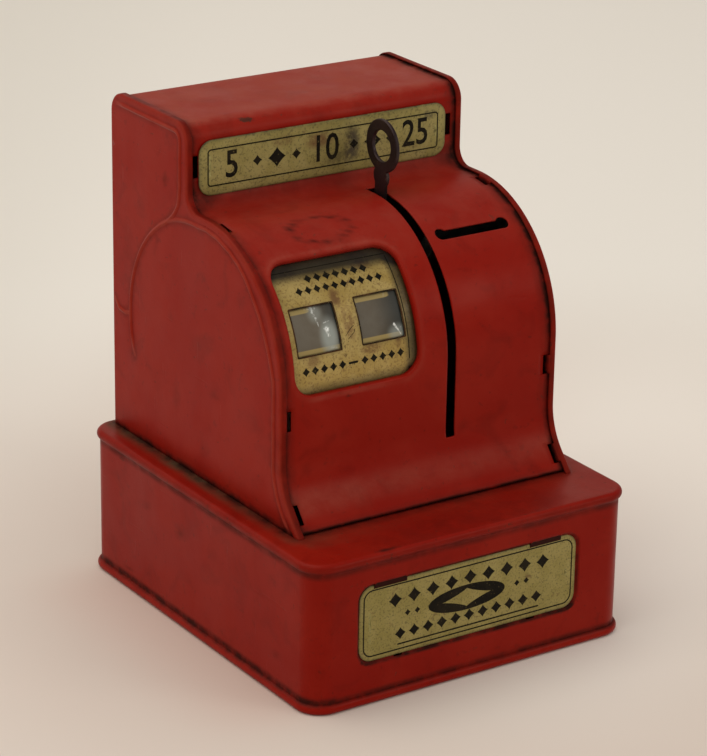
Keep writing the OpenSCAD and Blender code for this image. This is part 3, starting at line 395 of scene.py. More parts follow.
class Nodes:
    """Short way to add nodes to a tree and to join them."""

    def __init__(self, tree):
        self.tree = tree

    def feed(self, socket, value):
        """Links a socket to an input or sets the input's value, a colour from screen values."""
        if isinstance(value, bpy.types.NodeSocket):
            self.tree.links.new(value, socket)
        else:
            socket.default_value = colour(*value) if socket.type == "RGBA" else value

    def fill(self, node, **inputs):
        """Feeds inputs by their names, with _ for a space."""
        for key, value in inputs.items():
            self.feed(node.inputs[key.replace("_", " ")], value)
        return node

    def add(self, kind, *values, settings=None, **inputs):
        """A new node with its settings, its first inputs in order and others by name."""
        node = self.tree.nodes.new("ShaderNode" + kind)
        for key, value in (settings or {}).items():
            setattr(node, key, value)
        for socket, value in zip(node.inputs, values):
            self.feed(socket, value)
        return self.fill(node, **inputs)

    def use(self, group, *values):
        """Outputs of a shared group, fed in the order of its inputs."""
        return self.add("Group", *values, settings={"node_tree": GROUPS[group]}).outputs

    def calc(self, operation, *values, clamp=False):
        """Result of a calculation."""
        return self.add("Math", *values, settings={"operation": operation, "use_clamp": clamp}).outputs[0]

    times = partialmethod(calc, "MULTIPLY")
    plus = partialmethod(calc, "ADD")
    minus = partialmethod(calc, "SUBTRACT")
    larger = partialmethod(calc, "MAXIMUM")

    def mix(self, factor, a, b):
        """Mix of two colours."""
        node = self.add("Mix", factor, settings={"data_type": "RGBA"})
        self.feed(node.inputs[6], a)
        self.feed(node.inputs[7], b)
        return node.outputs[2]

    def span(self, value, low, high, out_low=0.0, out_high=1.0):
        """Smooth step of a value from one range to another, held at the ends."""
        return self.add("MapRange", value, low, high, out_low, out_high,
                        settings={"interpolation_type": "SMOOTHSTEP"}).outputs[0]

    def oval(self, where, middle, radii, turn=0.0):
        """One at the middle of an ellipsoid, zero on its skin and below zero outside."""
        inner = self.add("Mapping", where, middle, (0.0, 0.0, turn), radii,
                         settings={"vector_type": "TEXTURE"})
        reach = self.add("VectorMath", inner.outputs[0], settings={"operation": "LENGTH"})
        return self.minus(1.0, reach.outputs["Value"])

    def noise(self, vector, scale, detail=3.0, rough=0.5, warp=0.0):
        """Cloudy noise, from 0 to 1 and mostly near 0.5."""
        return self.add("TexNoise", Vector=vector, Scale=scale, Detail=detail, Roughness=rough,
                        Distortion=warp).outputs["Fac"]

    def specks(self, noise, low, high, amount):
        """Amount where a noise of these values is high, with soft borders."""
        return self.times(self.span(self.noise(*noise), low, high), amount)

    def own(self, name):
        """The piece's own vertex value of that name, zero where it has none."""
        return self.add("Attribute", settings={"attribute_name": name}).outputs["Fac"]


def open_group(name, colours, values, results):
    """Starts a shared group: its helper, inputs and outputs. Every result but Color is a value."""
    group = bpy.data.node_groups.new(name, "ShaderNodeTree")
    sockets = [("INPUT", "Vector", "Vector")]
    sockets += [("INPUT", key, "Color") for key in colours] + [("INPUT", key, "Float") for key in values]
    sockets += [("OUTPUT", key, "Color" if key == "Color" else "Float") for key in results]
    for side, key, kind in sockets:
        group.interface.new_socket(key, in_out=side, socket_type="NodeSocket" + kind)
    return (Nodes(group), group.nodes.new("NodeGroupInput").outputs,
            group.nodes.new("NodeGroupOutput").inputs)


def clouding_group():
    """Slow patches of two colours, with fine speckle: aged paint, print or metal."""
    n, i, o = open_group("Clouding", ("Base", "Second", "Speck"), ("Size", "Speck Amount"), ("Color",))
    patches = n.span(n.noise(i["Vector"], i["Size"], 4, 0.6, 0.4), 0.38, 0.66)
    speck = n.specks((i["Vector"], n.times(i["Size"], 9.0), 3, 0.6), 0.62, 0.72, i["Speck Amount"])
    n.feed(o["Color"], n.mix(speck, n.mix(patches, i["Base"], i["Second"]), i["Speck"]))
    return n.tree


def wear_group():
    """Rubbed edges and small chips: mixes bare colour in where the wear value and a noise are high."""
    n, i, o = open_group("Edge wear", ("Color", "Bare"), ("Wear", "Chips"), ("Color", "Mask"))
    coarse, fine = n.noise(i["Vector"], 260, 4, 0.65), n.noise(i["Vector"], 1500, 2, 0.5)
    rough = n.plus(n.times(coarse, 0.75), n.times(fine, 0.25))
    limit = n.minus(0.76, n.times(i["Wear"], 0.42))
    rubbed = n.times(n.span(rough, limit, n.plus(limit, 0.07)), n.span(i["Wear"], 0.02, 0.3))
    mask = n.larger(rubbed, n.specks((i["Vector"], 420, 2, 0.4, 0.6), 0.735, 0.76, i["Chips"]))
    n.feed(o["Color"], n.mix(mask, i["Color"], i["Bare"]))
    n.feed(o["Mask"], mask)
    return n.tree


def dust_group():
    """Settled dust and painted highlight by the first value, dark grime and painted shade by the second,
    broken by noise.
    """
    n, i, o = open_group("Dust and grime", ("Color", "Dust Color", "Grime Color"), ("Dust", "Grime"),
                         ("Color", "Dull"))
    broken = n.specks((i["Vector"], 110, 5, 0.7), 0.3, 0.75, 0.7)
    dusty = n.times(i["Dust"], n.plus(broken, 0.3), clamp=True)
    uneven = n.span(n.noise(i["Vector"], 190, 4, 0.6), 0.28, 0.62, 0.4, 1.0)
    dirty = n.times(i["Grime"], uneven, clamp=True)
    n.feed(o["Color"], n.mix(dirty, n.mix(dusty, i["Color"], i["Dust Color"]), i["Grime Color"]))
    n.feed(o["Dull"], n.larger(dusty, dirty))
    return n.tree


def grain_group():
    """Height of a worked metal sheet: slow waves, orange peel and a few fine scratches."""
    n, i, o = open_group("Sheet grain", (), ("Waves", "Peel", "Scratches"), ("Height",))
    waves = n.times(n.noise(i["Vector"], 34, 2, 0.4), i["Waves"])
    peel = n.times(n.noise(i["Vector"], 900, 3, 0.6), n.times(i["Peel"], 0.06))
    lines = []
    for turn, stretch in ((0.5, (60, 900, 60)), (1.9, (700, 40, 500))):
        place = n.add("Mapping", Vector=i["Vector"], Rotation=(turn, turn * 0.7, 0.3), Scale=stretch)
        lines.append(n.span(n.noise(place.outputs[0], 1.0, 2, 0.5), 0.715, 0.74))
    scratch = n.times(n.larger(*lines), i["Scratches"])
    n.feed(o["Height"], n.minus(n.plus(waves, peel), n.times(scratch, 0.05)))
    return n.tree


GROUPS = {"clouding": clouding_group(), "wear": wear_group(), "dust": dust_group(), "grain": grain_group()}


def start_material(name):
    """A material with its helper, its Principled shader and Object coordinates."""
    made = bpy.data.materials.new(name)
    made.use_nodes = True
    n = Nodes(made.node_tree)
    return made, n, made.node_tree.nodes["Principled BSDF"], n.add("TexCoord").outputs["Object"]


def set_bump(n, shader, height):
    """Feeds a height in millimetres to the shader's normal."""
    n.fill(shader, Normal=n.add("Bump", Height=height, Distance=MM, Strength=1.0).outputs[0])


def red_enamel(name="red enamel", base=(136, 17, 6), second=(141, 25, 13), dust_tone=(152, 68, 54),
               level=0.11, tint=(255, 226, 202)):
    """Aged red enamel: cloudy red, brown rubbed edges, chips, dust and painted highlights, grime and painted
    shade at seams, soft gloss.
    """
    made, n, shader, where = start_material(name)
    cloud = n.use("clouding", where, base, second, (92, 20, 14), 38.0, 0.3)
    shade = n.mix(n.specks((where, 75, 3, 0.6, 0.8), 0.5, 0.72, 0.42), cloud["Color"], (112, 13, 5))
    shade = n.mix(n.specks((where, 520, 2, 0.5, 0.3), 0.68, 0.76, 0.4), shade, (74, 16, 11))
    worn = n.use("wear", where, shade, (78, 40, 30), n.own("wear"), 0.45)
    # The pale tone is settled dust in places and a painted highlight in others; the dark tone is grime in
    # places and painted shade in others.
    dull = n.use("dust", where, worn["Color"], dust_tone, (44, 14, 10), n.own("dust"), n.own("grime"))
    gloss = n.span(n.noise(where, 70, 4, 0.6), 0.3, 0.7, 0.28, 0.42)
    gloss = n.plus(gloss, n.times(dull["Dull"], 0.3))
    gloss = n.plus(gloss, n.times(worn["Mask"], 0.2), clamp=True)
    n.fill(shader, Base_Color=dull["Color"], Roughness=gloss, Specular_IOR_Level=level, Specular_Tint=tint)
    set_bump(n, shader, n.minus(n.use("grain", where, 0.6, 0.35, 0.5)["Height"], n.times(worn["Mask"], 0.04)))
    return made


def printed_metal(name, base, second, speck, spots, stains=()):
    """Printed thin sheet, brassy and aged: speckled, dull, with rust spots, stains and a few waves.

    A stain is (x, z, half width, half height, strength, colour) on the front.
    """
    made, n, shader, where = start_material(name)
    shade = n.use("clouding", where, base, second, speck, 95.0, 0.55)["Color"]
    for noise, low, high, amount, tone in (((1500, 2, 0.6), 0.5, 0.68, 0.6, speck),
                                           ((700, 3, 0.6), 0.52, 0.68, 0.35, second),
                                           ((230, 5, 0.7, 0.5), 0.6, 0.7, spots, (92, 58, 30))):
        shade = n.mix(n.specks((where, *noise), low, high, amount), shade, tone)
    broken = n.span(n.noise(where, 420, 5, 0.7), 0.3, 0.54)
    for x, z, wide, high, strength, tone in stains:
        spot = n.oval(where, (x * MM, 0.0, z * MM), (wide * MM, 1.0, high * MM))
        shade = n.mix(n.times(n.times(n.span(spot, 0.0, 0.7), broken), strength), shade, tone)
    shade = n.mix(n.own("shade"), shade, (22, 15, 8))
    grime = n.use("dust", where, shade, (150, 140, 110), (38, 30, 20), 0.05, n.own("grime"))
    n.fill(shader, Base_Color=grime["Color"], Metallic=0.35,
           Roughness=n.span(n.noise(where, 160, 4, 0.6), 0.3, 0.7, 0.35, 0.54))
    set_bump(n, shader, n.use("grain", where, 0.6, 1.0, 0.8)["Height"])
    return made


def ink(name, shade):
    """Worn printing ink, a little broken by rubbing."""
    made, n, shader, where = start_material(name)
    cloud = n.use("clouding", where, shade, (34, 28, 16), (112, 98, 54), 160.0, 0.8)
    n.fill(shader, Base_Color=cloud["Color"], Roughness=0.6, Specular_IOR_Level=0.1)
    return made


def bare_metal(name, base, second, metallic, rough, rust, rubbed=None):
    """Unpainted or blackened metal, uneven in gloss and with a little rust."""
    made, n, shader, where = start_material(name)
    cloud = n.use("clouding", where, base, second, (70, 52, 40), 90.0, rust)
    worn = n.use("wear", where, cloud["Color"], rubbed or second, 0.35, 0.4)
    n.fill(shader, Base_Color=worn["Color"], Metallic=metallic,
           Roughness=n.span(n.noise(where, 240, 4, 0.6), 0.3, 0.7, rough - 0.08, rough + 0.14))
    set_bump(n, shader, n.use("grain", where, 0.1, 0.7, 0.8)["Height"])
    return made


def pane_film():
    """Thin smoky film behind the mask: dull, with a painted reflection that makes it paler towards one edge,
    painted shade, and creases painted white as glints that also glint in the coat.
    """
    made, n, shader, where = start_material("cockled film")
    cloud = n.use("clouding", where, (98, 88, 72), (106, 98, 84), (120, 114, 102), 70.0, 0.08)
    # Painted shade darkens parts of the film.
    shade = n.mix(n.own("shade"), cloud["Color"], (50, 52, 48))
    shade = n.mix(n.span(n.own("strip"), 0.3, 0.7), shade, (156, 136, 84))
    # Painted reflection: a pale bluish glow over part of the film.
    shade = n.mix(n.own("pale"), shade, (158, 164, 156))
    broken = n.times(n.own("crease"), n.span(n.noise(where, 1500, 2, 0.6), 0.3, 0.6, 0.25, 1.15))
    crease = n.span(broken, 0.1, 0.95)
    # Painted glints: the creases are mixed to near white; the coat makes them glint in the lamp as well.
    shade = n.mix(crease, shade, (226, 228, 220))
    dark = n.use("dust", where, shade, (120, 116, 104), (30, 22, 14), 0.0, n.own("grime"))
    n.fill(shader, Base_Color=dark["Color"], Roughness=n.minus(0.42, n.times(crease, 0.3)),
           Specular_IOR_Level=0.2, Coat_Weight=crease, Coat_Roughness=0.08)
    set_bump(n, shader, n.times(n.noise(where, 60, 2, 0.5), 0.25))
    return made


RUST, SOOT = (104, 62, 26), (40, 28, 24)
SIGN_STAINS = ((9.0, 144.5, 4.0, 8.0, 0.85, SOOT), (5.0, 140.5, 9.0, 3.0, 0.5, SOOT),
               (-3.0, 147.0, 7.0, 3.4, 0.75, RUST), (-16.0, 149.0, 6.0, 2.4, 0.4, RUST),
               (38.0, 149.5, 4.0, 2.0, 0.6, SOOT))
MASK_STAINS = ((-12.0, 121.0, 6.0, 3.6, 0.95, RUST), (-6.4, 103.0, 2.2, 9.0, 0.9, RUST),
               (-25.0, 113.0, 2.6, 3.6, 0.8, RUST), (-22.6, 106.0, 2.8, 8.0, 0.6, RUST),
               (-38.0, 121.5, 6.0, 3.0, 0.8, RUST), (-37.0, 97.5, 3.6, 3.0, 0.6, RUST),
               (-16.0, 97.5, 5.0, 2.2, 0.7, RUST))
RED = red_enamel()
RED_SIDE = red_enamel("red enamel of the sides", level=0.092, tint=(255, 220, 178))
RED_BASE = red_enamel("red enamel of the base", (131, 17, 7), (137, 24, 12), (88, 66, 46))
BRASS = printed_metal("printed plate", (143, 130, 64), (158, 144, 81), (80, 70, 32), 0.6)
SIGN_BRASS = printed_metal("printed sign", (146, 133, 68), (162, 148, 86), (82, 72, 34), 0.5, SIGN_STAINS)
BRASS_WARM = printed_metal("printed mask", (170, 142, 70), (186, 160, 92), (112, 80, 36), 0.9, MASK_STAINS)
INK = ink("dark ink", (20, 17, 9))
BROWN_INK = ink("brown rim", (74, 44, 22))
BLACK_STEEL = bare_metal("blackened steel", (46, 33, 34), (60, 44, 42), 0.6, 0.42, 0.5, (92, 74, 66))
STEEL = bare_metal("dull steel", (150, 148, 142), (120, 116, 108), 1.0, 0.36, 0.5)
NICKEL = bare_metal("nickel", (196, 190, 178), (168, 160, 148), 1.0, 0.2, 0.2)
ENAMEL = bare_metal("ivory enamel", (214, 206, 182), (200, 190, 164), 0.0, 0.45, 0.4, (150, 138, 112))
FILM = pane_film()

# Spots of dirt and chipped paint: strength, middle, radii
SIDE_SPOTS = ((0.8, 30.3, 138.4, 2.2, 2.6), (0.5, 28.4, 152.4, 1.6, 1.2), (0.35, 45.7, 126.2, 1.2, 1.0),
              (0.3, 35.4, 117.8, 1.4, 1.8), (0.25, 2.0, 78.0, 5.0, 2.0), (0.25, 24.0, 70.0, 3.0, 6.0))
BASE_SPOTS = ((0.45, 9.5, 30.8, 2.2, 2.6), (0.7, -36.3, 36.9, 1.8, 1.2), (0.4, 41.6, 6.8, 3.0, 0.8),
              (0.3, -46.6, 13.0, 1.2, 2.0), (0.3, 30.0, 33.0, 4.0, 1.4))
CHIPS = ((1.0, -27.5, run_at(z=156.6), 2.6, 1.5), (0.6, -20.0, run_at(z=156.9), 1.2, 0.8),
         (0.9, -26.0, run_at(deg=-5.9), 1.6, 0.6), (0.7, -29.3, run_at(deg=-3.3), 1.2, 0.5),
         (0.4, -14.1, run_at(deg=26.0), 0.5, 0.8), (0.6, 6.4, run_at(z=137.5), 0.9, 0.5))
SCUFF_X, SCUFF_RUN, SCUFF_W, SCUFF_H = -19.3, run_at(deg=69.5), 10.5, 6.2


# Housing

def pressed_paths():
    """Lines pressed into the side panels: the rear one down to the ring, the front one and a branch."""
    rear = np.concatenate([
        line((59.5, 155.45), (24.5, 155.45), 12), arc((24.5, 152.4), 3.05, 90, 180, 6),
        line((21.45, 152.4), (21.8, 135.5), 8), [(22.4, 132.8), (23.8, 130.4), (26.0, 127.9)],
        arc(RING_C, RING_R, 64, -22, 60)])
    edge = housing_outline(3.7)
    foot = edge[:int(np.argmax(edge[:, 1] > 94.0))]
    over = [(-31.4, 95.5), (-29.4, 101.3), (-26.6, 107.1), (-24.2, 111.0), (-20.2, 116.2), (-16.2, 120.6),
            (-12.4, 123.6), (-7.1, 126.3), (-0.6, 128.4), (6.0, 129.3)]
    front = np.concatenate([foot, over, arc(RING_C, RING_R + 0.3, 93, 56, 20)])
    branch = np.concatenate([line((62.6, 91.8), (59.3, 88.7), 4), line((59.3, 88.7), (55.6, 88.2), 4),
                             [(55.6, 88.2), (52.3, 89.2)]])
    return rear, front, branch


def rolled_outline(inset):
    """Outline of the panel at an inset from its outer edge, with half of the inset along the back."""
    whole, half = housing_outline(inset, fine=SIDE_FINE), housing_outline(inset / 2, fine=SIDE_FINE)
    return whole + (half - whole) * ramp(half[:, 0], 45, 58)[:, None]


def side_panel(name, side, node):
    """Pressed side panel: a flat face with raised lines, a rolled edge and the flange over the front sheet.

    A raised line has the section h (1 + cos(pi gap / w)) / 2 and fades at its free ends. The roll is a
    squarish quarter round, inset = depth (1 - sin(a)^0.6) and x = width (1 - cos(a)^0.6), tighter along
    the back, and the flange follows it.
    """
    rim = rolled_outline(ROLL_DEPTH)
    outline = np.concatenate([rim, line(rim[-1], rim[0], 90)[1:]])
    paths = pressed_paths()
    around = np.concatenate([beside(path, (-1.1, -0.8, -0.55, -0.3, 0, 0.3, 0.55, 0.8, 1.1), 0.8)
                             for path in paths])
    flat, face = pierced_sheet(outline, [], np.arange(-48, 64, 1.6), np.arange(49, 159, 1.6), free=around)
    rise, near = np.zeros(len(flat)), np.full(len(flat), 9.0)
    for path in paths:
        gap, run = gap_and_run(flat, path)
        ends = ramp(run, 0, 5) * ramp(run_of(path)[-1] - run, 0, 7)
        rise = np.maximum(rise, ends * RIDGE_H * 0.5 * (1 + np.cos(np.pi * np.clip(gap / RIDGE_W, 0, 1))))
        near = np.minimum(near, gap)
    edge = [(ROLL_DEPTH * (1 - math.sin(a) ** 0.6), ROLL_WIDTH * (1 - abs(math.cos(a)) ** 0.6))
            for a in np.radians([0, 4, 10, 18, 27, 38, 52, 63, 72, 80, 86, 90])]
    edge += [(0.0, FLANGE_W - 0.15), (0.06, FLANGE_W - 0.05), (0.2, FLANGE_W)]
    edge += [(SHEET, FLANGE_W), (SHEET, 1.3)]
    points = [np.column_stack([-HOUSING_X - rise, flat])]
    for inset, x in edge:
        loop = housing_outline(inset, fine=SIDE_FINE) if inset == SHEET else rolled_outline(inset)
        points.append(np.column_stack([np.full(len(loop), -HOUSING_X + x), loop]))
    points = np.concatenate(points)
    points[:, 0] *= -side
    faces = [facing(points, face, (side, 0, 0)),
             facing(points, grid_faces(len(edge), len(rim), start=len(flat)), hub=(0, 18, 95))]
    y, z = flat.T
    wear = 0.08 * ramp(nearest(flat, outline), 1.6, 0) + 0.1 * ramp(near, 0.7, 0)
    # Painted shade along the foot of the panel where it meets the ledge, fading up over a wider band.
    grime = 0.95 * ramp(z, LEDGE_Z + 2.2, LEDGE_Z) + 0.25 * ramp(z, LEDGE_Z + 9, LEDGE_Z)
    # Painted shade in a band beside each raised line; dirt spots.
    grime += 0.3 * ramp(near, 2.0, 1.0) * ramp(near, 0.5, 0.9) + blots(y, z, SIDE_SPOTS)
    # Painted highlight along the raised lines, in the pale tone.
    dust = 0.62 * ramp(near, 0.85, 0.35)
    values = {}
    # Along the roll, row by row: a little wear; dirt and painted shade growing towards the flange's edge; a
    # painted highlight in the pale tone over the middle of the roll.
    for key, value, rows, levels in (
            ("wear", wear, (0, 5, 9, 11, 13, 16), (0.05, 0.12, 0.2, 0.15, 0.5, 0.0)),
            ("grime", grime, (0, 6, 9, 11, 13, 15, 16), (0.0, 0.1, 0.3, 0.45, 0.7, 1.0, 1.0)),
            ("dust", dust, (0, 3, 6, 9, 12, 16), (0.05, 0.2, 0.4, 0.22, 0.0, 0.0))):
        roll = np.interp(np.arange(len(edge)), rows, levels)
        values[key] = np.clip(np.concatenate([value, np.repeat(roll, len(rim))]), 0, 1)
    piece(name, points, faces, RED_SIDE, [node], thick=SHEET, **values)


def seam_tabs():
    """Fixing tabs of the side panels, bent in through slots of the front sheet: a strip along a bend.

    Section of a tab as X inwards from the flange edge and depth below it.
    """
    section = ((-0.5, 0.02), (-0.1, 0.05), (0.2, 0.2), (0.38, 0.55), (0.42, 1.2), (0.42, 2.8))
    for k, (run, side) in enumerate([(run, side) for run in TAB_RUNS for side in (-1, 1)]):
        along = run + np.linspace(-1, 1, 9) * (TAB_LEN / 2 - 0.2)
        rows = [on_wrap(np.full(9, side * (TAB_X - x)), along, depth - FLANGE_STEP) for x, depth in section]
        piece(f"seam_tab_{k + 1}", np.concatenate(rows), grid_faces(len(section), 9), RED,
              out=(0.0, -1.0, 0.6), thick=0.4, wear=np.full(54, 0.2),
              grime=np.repeat([0.2, 0.3, 0.5, 0.7, 1.0, 1.0], 9))


def coin_slot_loop(grow=0.0):
    """Slot with a straight lower edge and a circle at each end that rises above its upper edge."""
    r, up, run = COIN_R + grow, COIN_RISE + grow, run_at(deg=COIN_DEG)
    a = math.degrees(math.asin(min(1, up / r)))
    reach = r * math.cos(math.radians(a))
    return np.concatenate([
        arc((COIN_RIGHT, run), r, -90, 180 - a, 22),
        line((COIN_RIGHT - reach, run + up), (COIN_LEFT + reach, run + up), 12),
        arc((COIN_LEFT, run), r, a, 270, 22), line((COIN_LEFT, run - r), (COIN_RIGHT, run - r), 12)])


def lever_slot_loop(grow=0.0):
    """Long straight slot of the lever, over the drum."""
    low, top = run_at(z=LEVER_SLOT_LOW), run_at(deg=90.0) + LEVER_SLOT_PAST
    return closely(rounded(LEVER_SLOT_W + 2 * grow, top - low + 2 * grow, 0.35 + grow, 3, LEVER_SLOT_X,
                           (low + top) / 2), 1.5)


def window_loop(grow=0.0):
    """Rounded window drawn on its chord and carried onto the drum: sin of the angle = height / radius."""
    loop = closely(rounded(WINDOW_W + 2 * grow, WINDOW_H + 2 * grow, WINDOW_R + grow, 8, WINDOW_X, 0), 1.5)
    deg = WINDOW_DEG + np.degrees(np.arcsin(np.clip(loop[:, 1] / SHEET_R, -1, 1)))
    return np.stack([loop[:, 0], DRUM_START + SHEET_R * np.radians(deg)], 1)


def front_sheet():
    """The one sheet from the foot over drum and sign face to the back, with its openings and rolled lip."""
    end = WRAP_RUN[np.argmax((np.arange(len(WRAP)) > len(WRAP) * 0.7) & (WRAP[:, 1] < WRAP_END_Z))]
    outline = closely(np.array([[-WRAP_X, 0.02], [WRAP_X, 0.02], [WRAP_X, end], [-WRAP_X, end]]), 2.5)
    rim = LIP_R + LIP_EASE
    holes = [window_loop(rim), lever_slot_loop(), coin_slot_loop()]
    guides = [window_loop(rim + 0.5), window_loop(rim + 1.2), lever_slot_loop(0.45), coin_slot_loop(0.45)]
    for side in (-1, 1):
        tab_x = side * (TAB_X + 0.5 - TAB_SLOT_W / 2)
        holes += [rounded(TAB_SLOT_W, TAB_LEN, 0.2, 2, tab_x, run) for run in TAB_RUNS]
        holes.append(rounded(SIGN_SLOT_W, SIGN_SLOT_H, 0.3, 2, SIGN_X + side * SIGN_SLOT_X,
                             run_at(z=SIGN_SLOT_Z)))
    flat, faces = pierced_sheet(outline, holes, np.arange(-48.5, 49, 2.2), np.arange(1.0, end, 1.3), guides)
    rows = [(LIP_EASE + LIP_R * (1 - math.sin(a)), LIP_R * (1 - math.cos(a)))
            for a in np.radians(np.linspace(0, 90, 6))] + [(LIP_EASE, 1.3), (LIP_EASE, 1.9)]
    loops = [window_loop(grow) for grow, _ in rows]
    lip = np.concatenate([on_wrap(*loop.T, depth) for loop, (_, depth) in zip(loops, rows)])
    points = np.concatenate([on_wrap(*flat.T), lip])
    cols = len(loops[0])
    ring = grid_faces(len(rows), cols, True, len(flat))
    faces = [facing(points, faces, hub=(0, 20, 95)), facing(points, ring, hub=lip.mean(0))[:, ::-1]]
    x, z, v = points[:, 0], points[:, 2], np.concatenate([flat] + loops)[:, 1]
    bend = ramp(np.abs(v - run_at(z=TOP_BEND_Z)), 5.0, 1.0)
    lip_wear = np.concatenate([np.zeros(len(flat)), np.repeat([0.3, 0.4, 0.4, 0.3, 0.2, 0.1, 0, 0], cols)])
    chip = blots(x, v, CHIPS)
    scuff = np.hypot((x - SCUFF_X) / SCUFF_W, (v - SCUFF_RUN) / SCUFF_H)
    marks = ramp(np.abs(scuff - 0.95), 0.2, 0.03) * (0.55 + 0.45 * np.sin(1.9 * x + 1.3 * v))
    # Darker along the flanges of the side panels, wider on the right over the upper drum: dirt with painted
    # shade; darker too along the neck bend.
    seam = ramp(x, -45.4, -48.0) + ramp(x, 47.0, 47.7)
    seam += (0.12 + 0.3 * ramp(z, 80, 100)) * ramp(x, 43.0, 47.0)
    neck = ramp(np.abs(v - run_at(z=NECK_BEND_Z)), 6, 0)
    seam += neck * (0.3 + 0.5 * ramp(x, -36, -46) + 0.3 * ramp(x, 38, 46))
    deg = np.degrees((v - DRUM_START) / SHEET_R) - WINDOW_DEG
    chord = SHEET_R * np.sin(np.radians(np.clip(deg, -60, 60)))
    hole = rounded_gap(x - WINDOW_X, chord, WINDOW_W, WINDOW_H, WINDOW_R)
    # Painted highlight round the window's rolled lip, in the pale tone: strongest at the top, towards the
    # right and along the lower lip.
    light = np.clip(0.35 + 0.65 * ramp(chord, 12, 19) + 0.5 * ramp(x - chord, 0, 22), 0, 1)
    low_lip = ramp(np.abs(hole - 1.3), 0.9, 0.1) * ramp(chord, -13, -20) * ramp(np.abs(x + 26), 17, 8)
    rim_light = (ramp(np.abs(hole - 1.6), 1.1, 0.2) * light + 1.5 * low_lip) * (np.abs(deg) < 45)
    # Painted highlight band across the flare, in the pale tone, stronger to the left.
    flare = ramp(z, 61.0, 56.5) * ramp(z, 51.0, 55.0) * (0.34 + 0.3 * ramp(x, 20, -40))
    tops = 0.85 * ramp(z, 156.6, 157.9) + 0.3 * ramp(z, 112, 131) * (z < 140)
    piece("front_sheet", points, faces, RED, ["front_wrap"], thick=SHEET,
          wear=np.clip(np.maximum(bend * 0.3, lip_wear) + 0.8 * chip, 0, 1),
          grime=np.clip(seam + ramp(v, 1.3, 0.2) * 1.2 + 0.6 * chip + 0.85 * marks, 0, 1.6),
          dust=np.clip(tops + bend * 0.25 + 0.4 * rim_light + flare, 0, 1))


# Base

def box_path(stops):
    """Round the base: points and outward directions; stops are the X places on front and back."""
    along = np.linspace(CORNER_R - BASE_D / 2, BASE_D / 2 - CORNER_R, 30)
    sides = ((stops, -BASE_D / 2, (0, -1)), (BASE_W / 2, along, (1, 0)),
             (stops[::-1], BASE_D / 2, (0, 1)), (-BASE_W / 2, along[::-1], (-1, 0)))
    points, out = [], []
    for k, (x, y, way) in enumerate(sides):
        side = np.column_stack(np.broadcast_arrays(x, y))
        a = np.radians(np.linspace(90 * k - 90, 90 * k, 15))[1:-1]
        turn = np.stack([np.cos(a), np.sin(a)], 1)
        points += [side, side[-1] - CORNER_R * np.array(way) + CORNER_R * turn]
        out += [np.tile(way, (len(side), 1)), turn]
    return np.concatenate(points), np.concatenate(out)


def spread(fixed, close, wide, reach):
    """Places between the first and last fixed one: close steps near the inner fixed ones, wide elsewhere."""
    fixed = sorted(fixed)
    out, at = [fixed[0]], fixed[0]
    while at < fixed[-1] - 1e-6:
        step = close if min(abs(at - f) for f in fixed[1:-1]) < reach else wide
        later = next(f for f in fixed if f > at + 1e-6)
        at = min(at + step, later) if later - at < step * 1.6 else at + step
        out.append(at)
    return np.array(out)


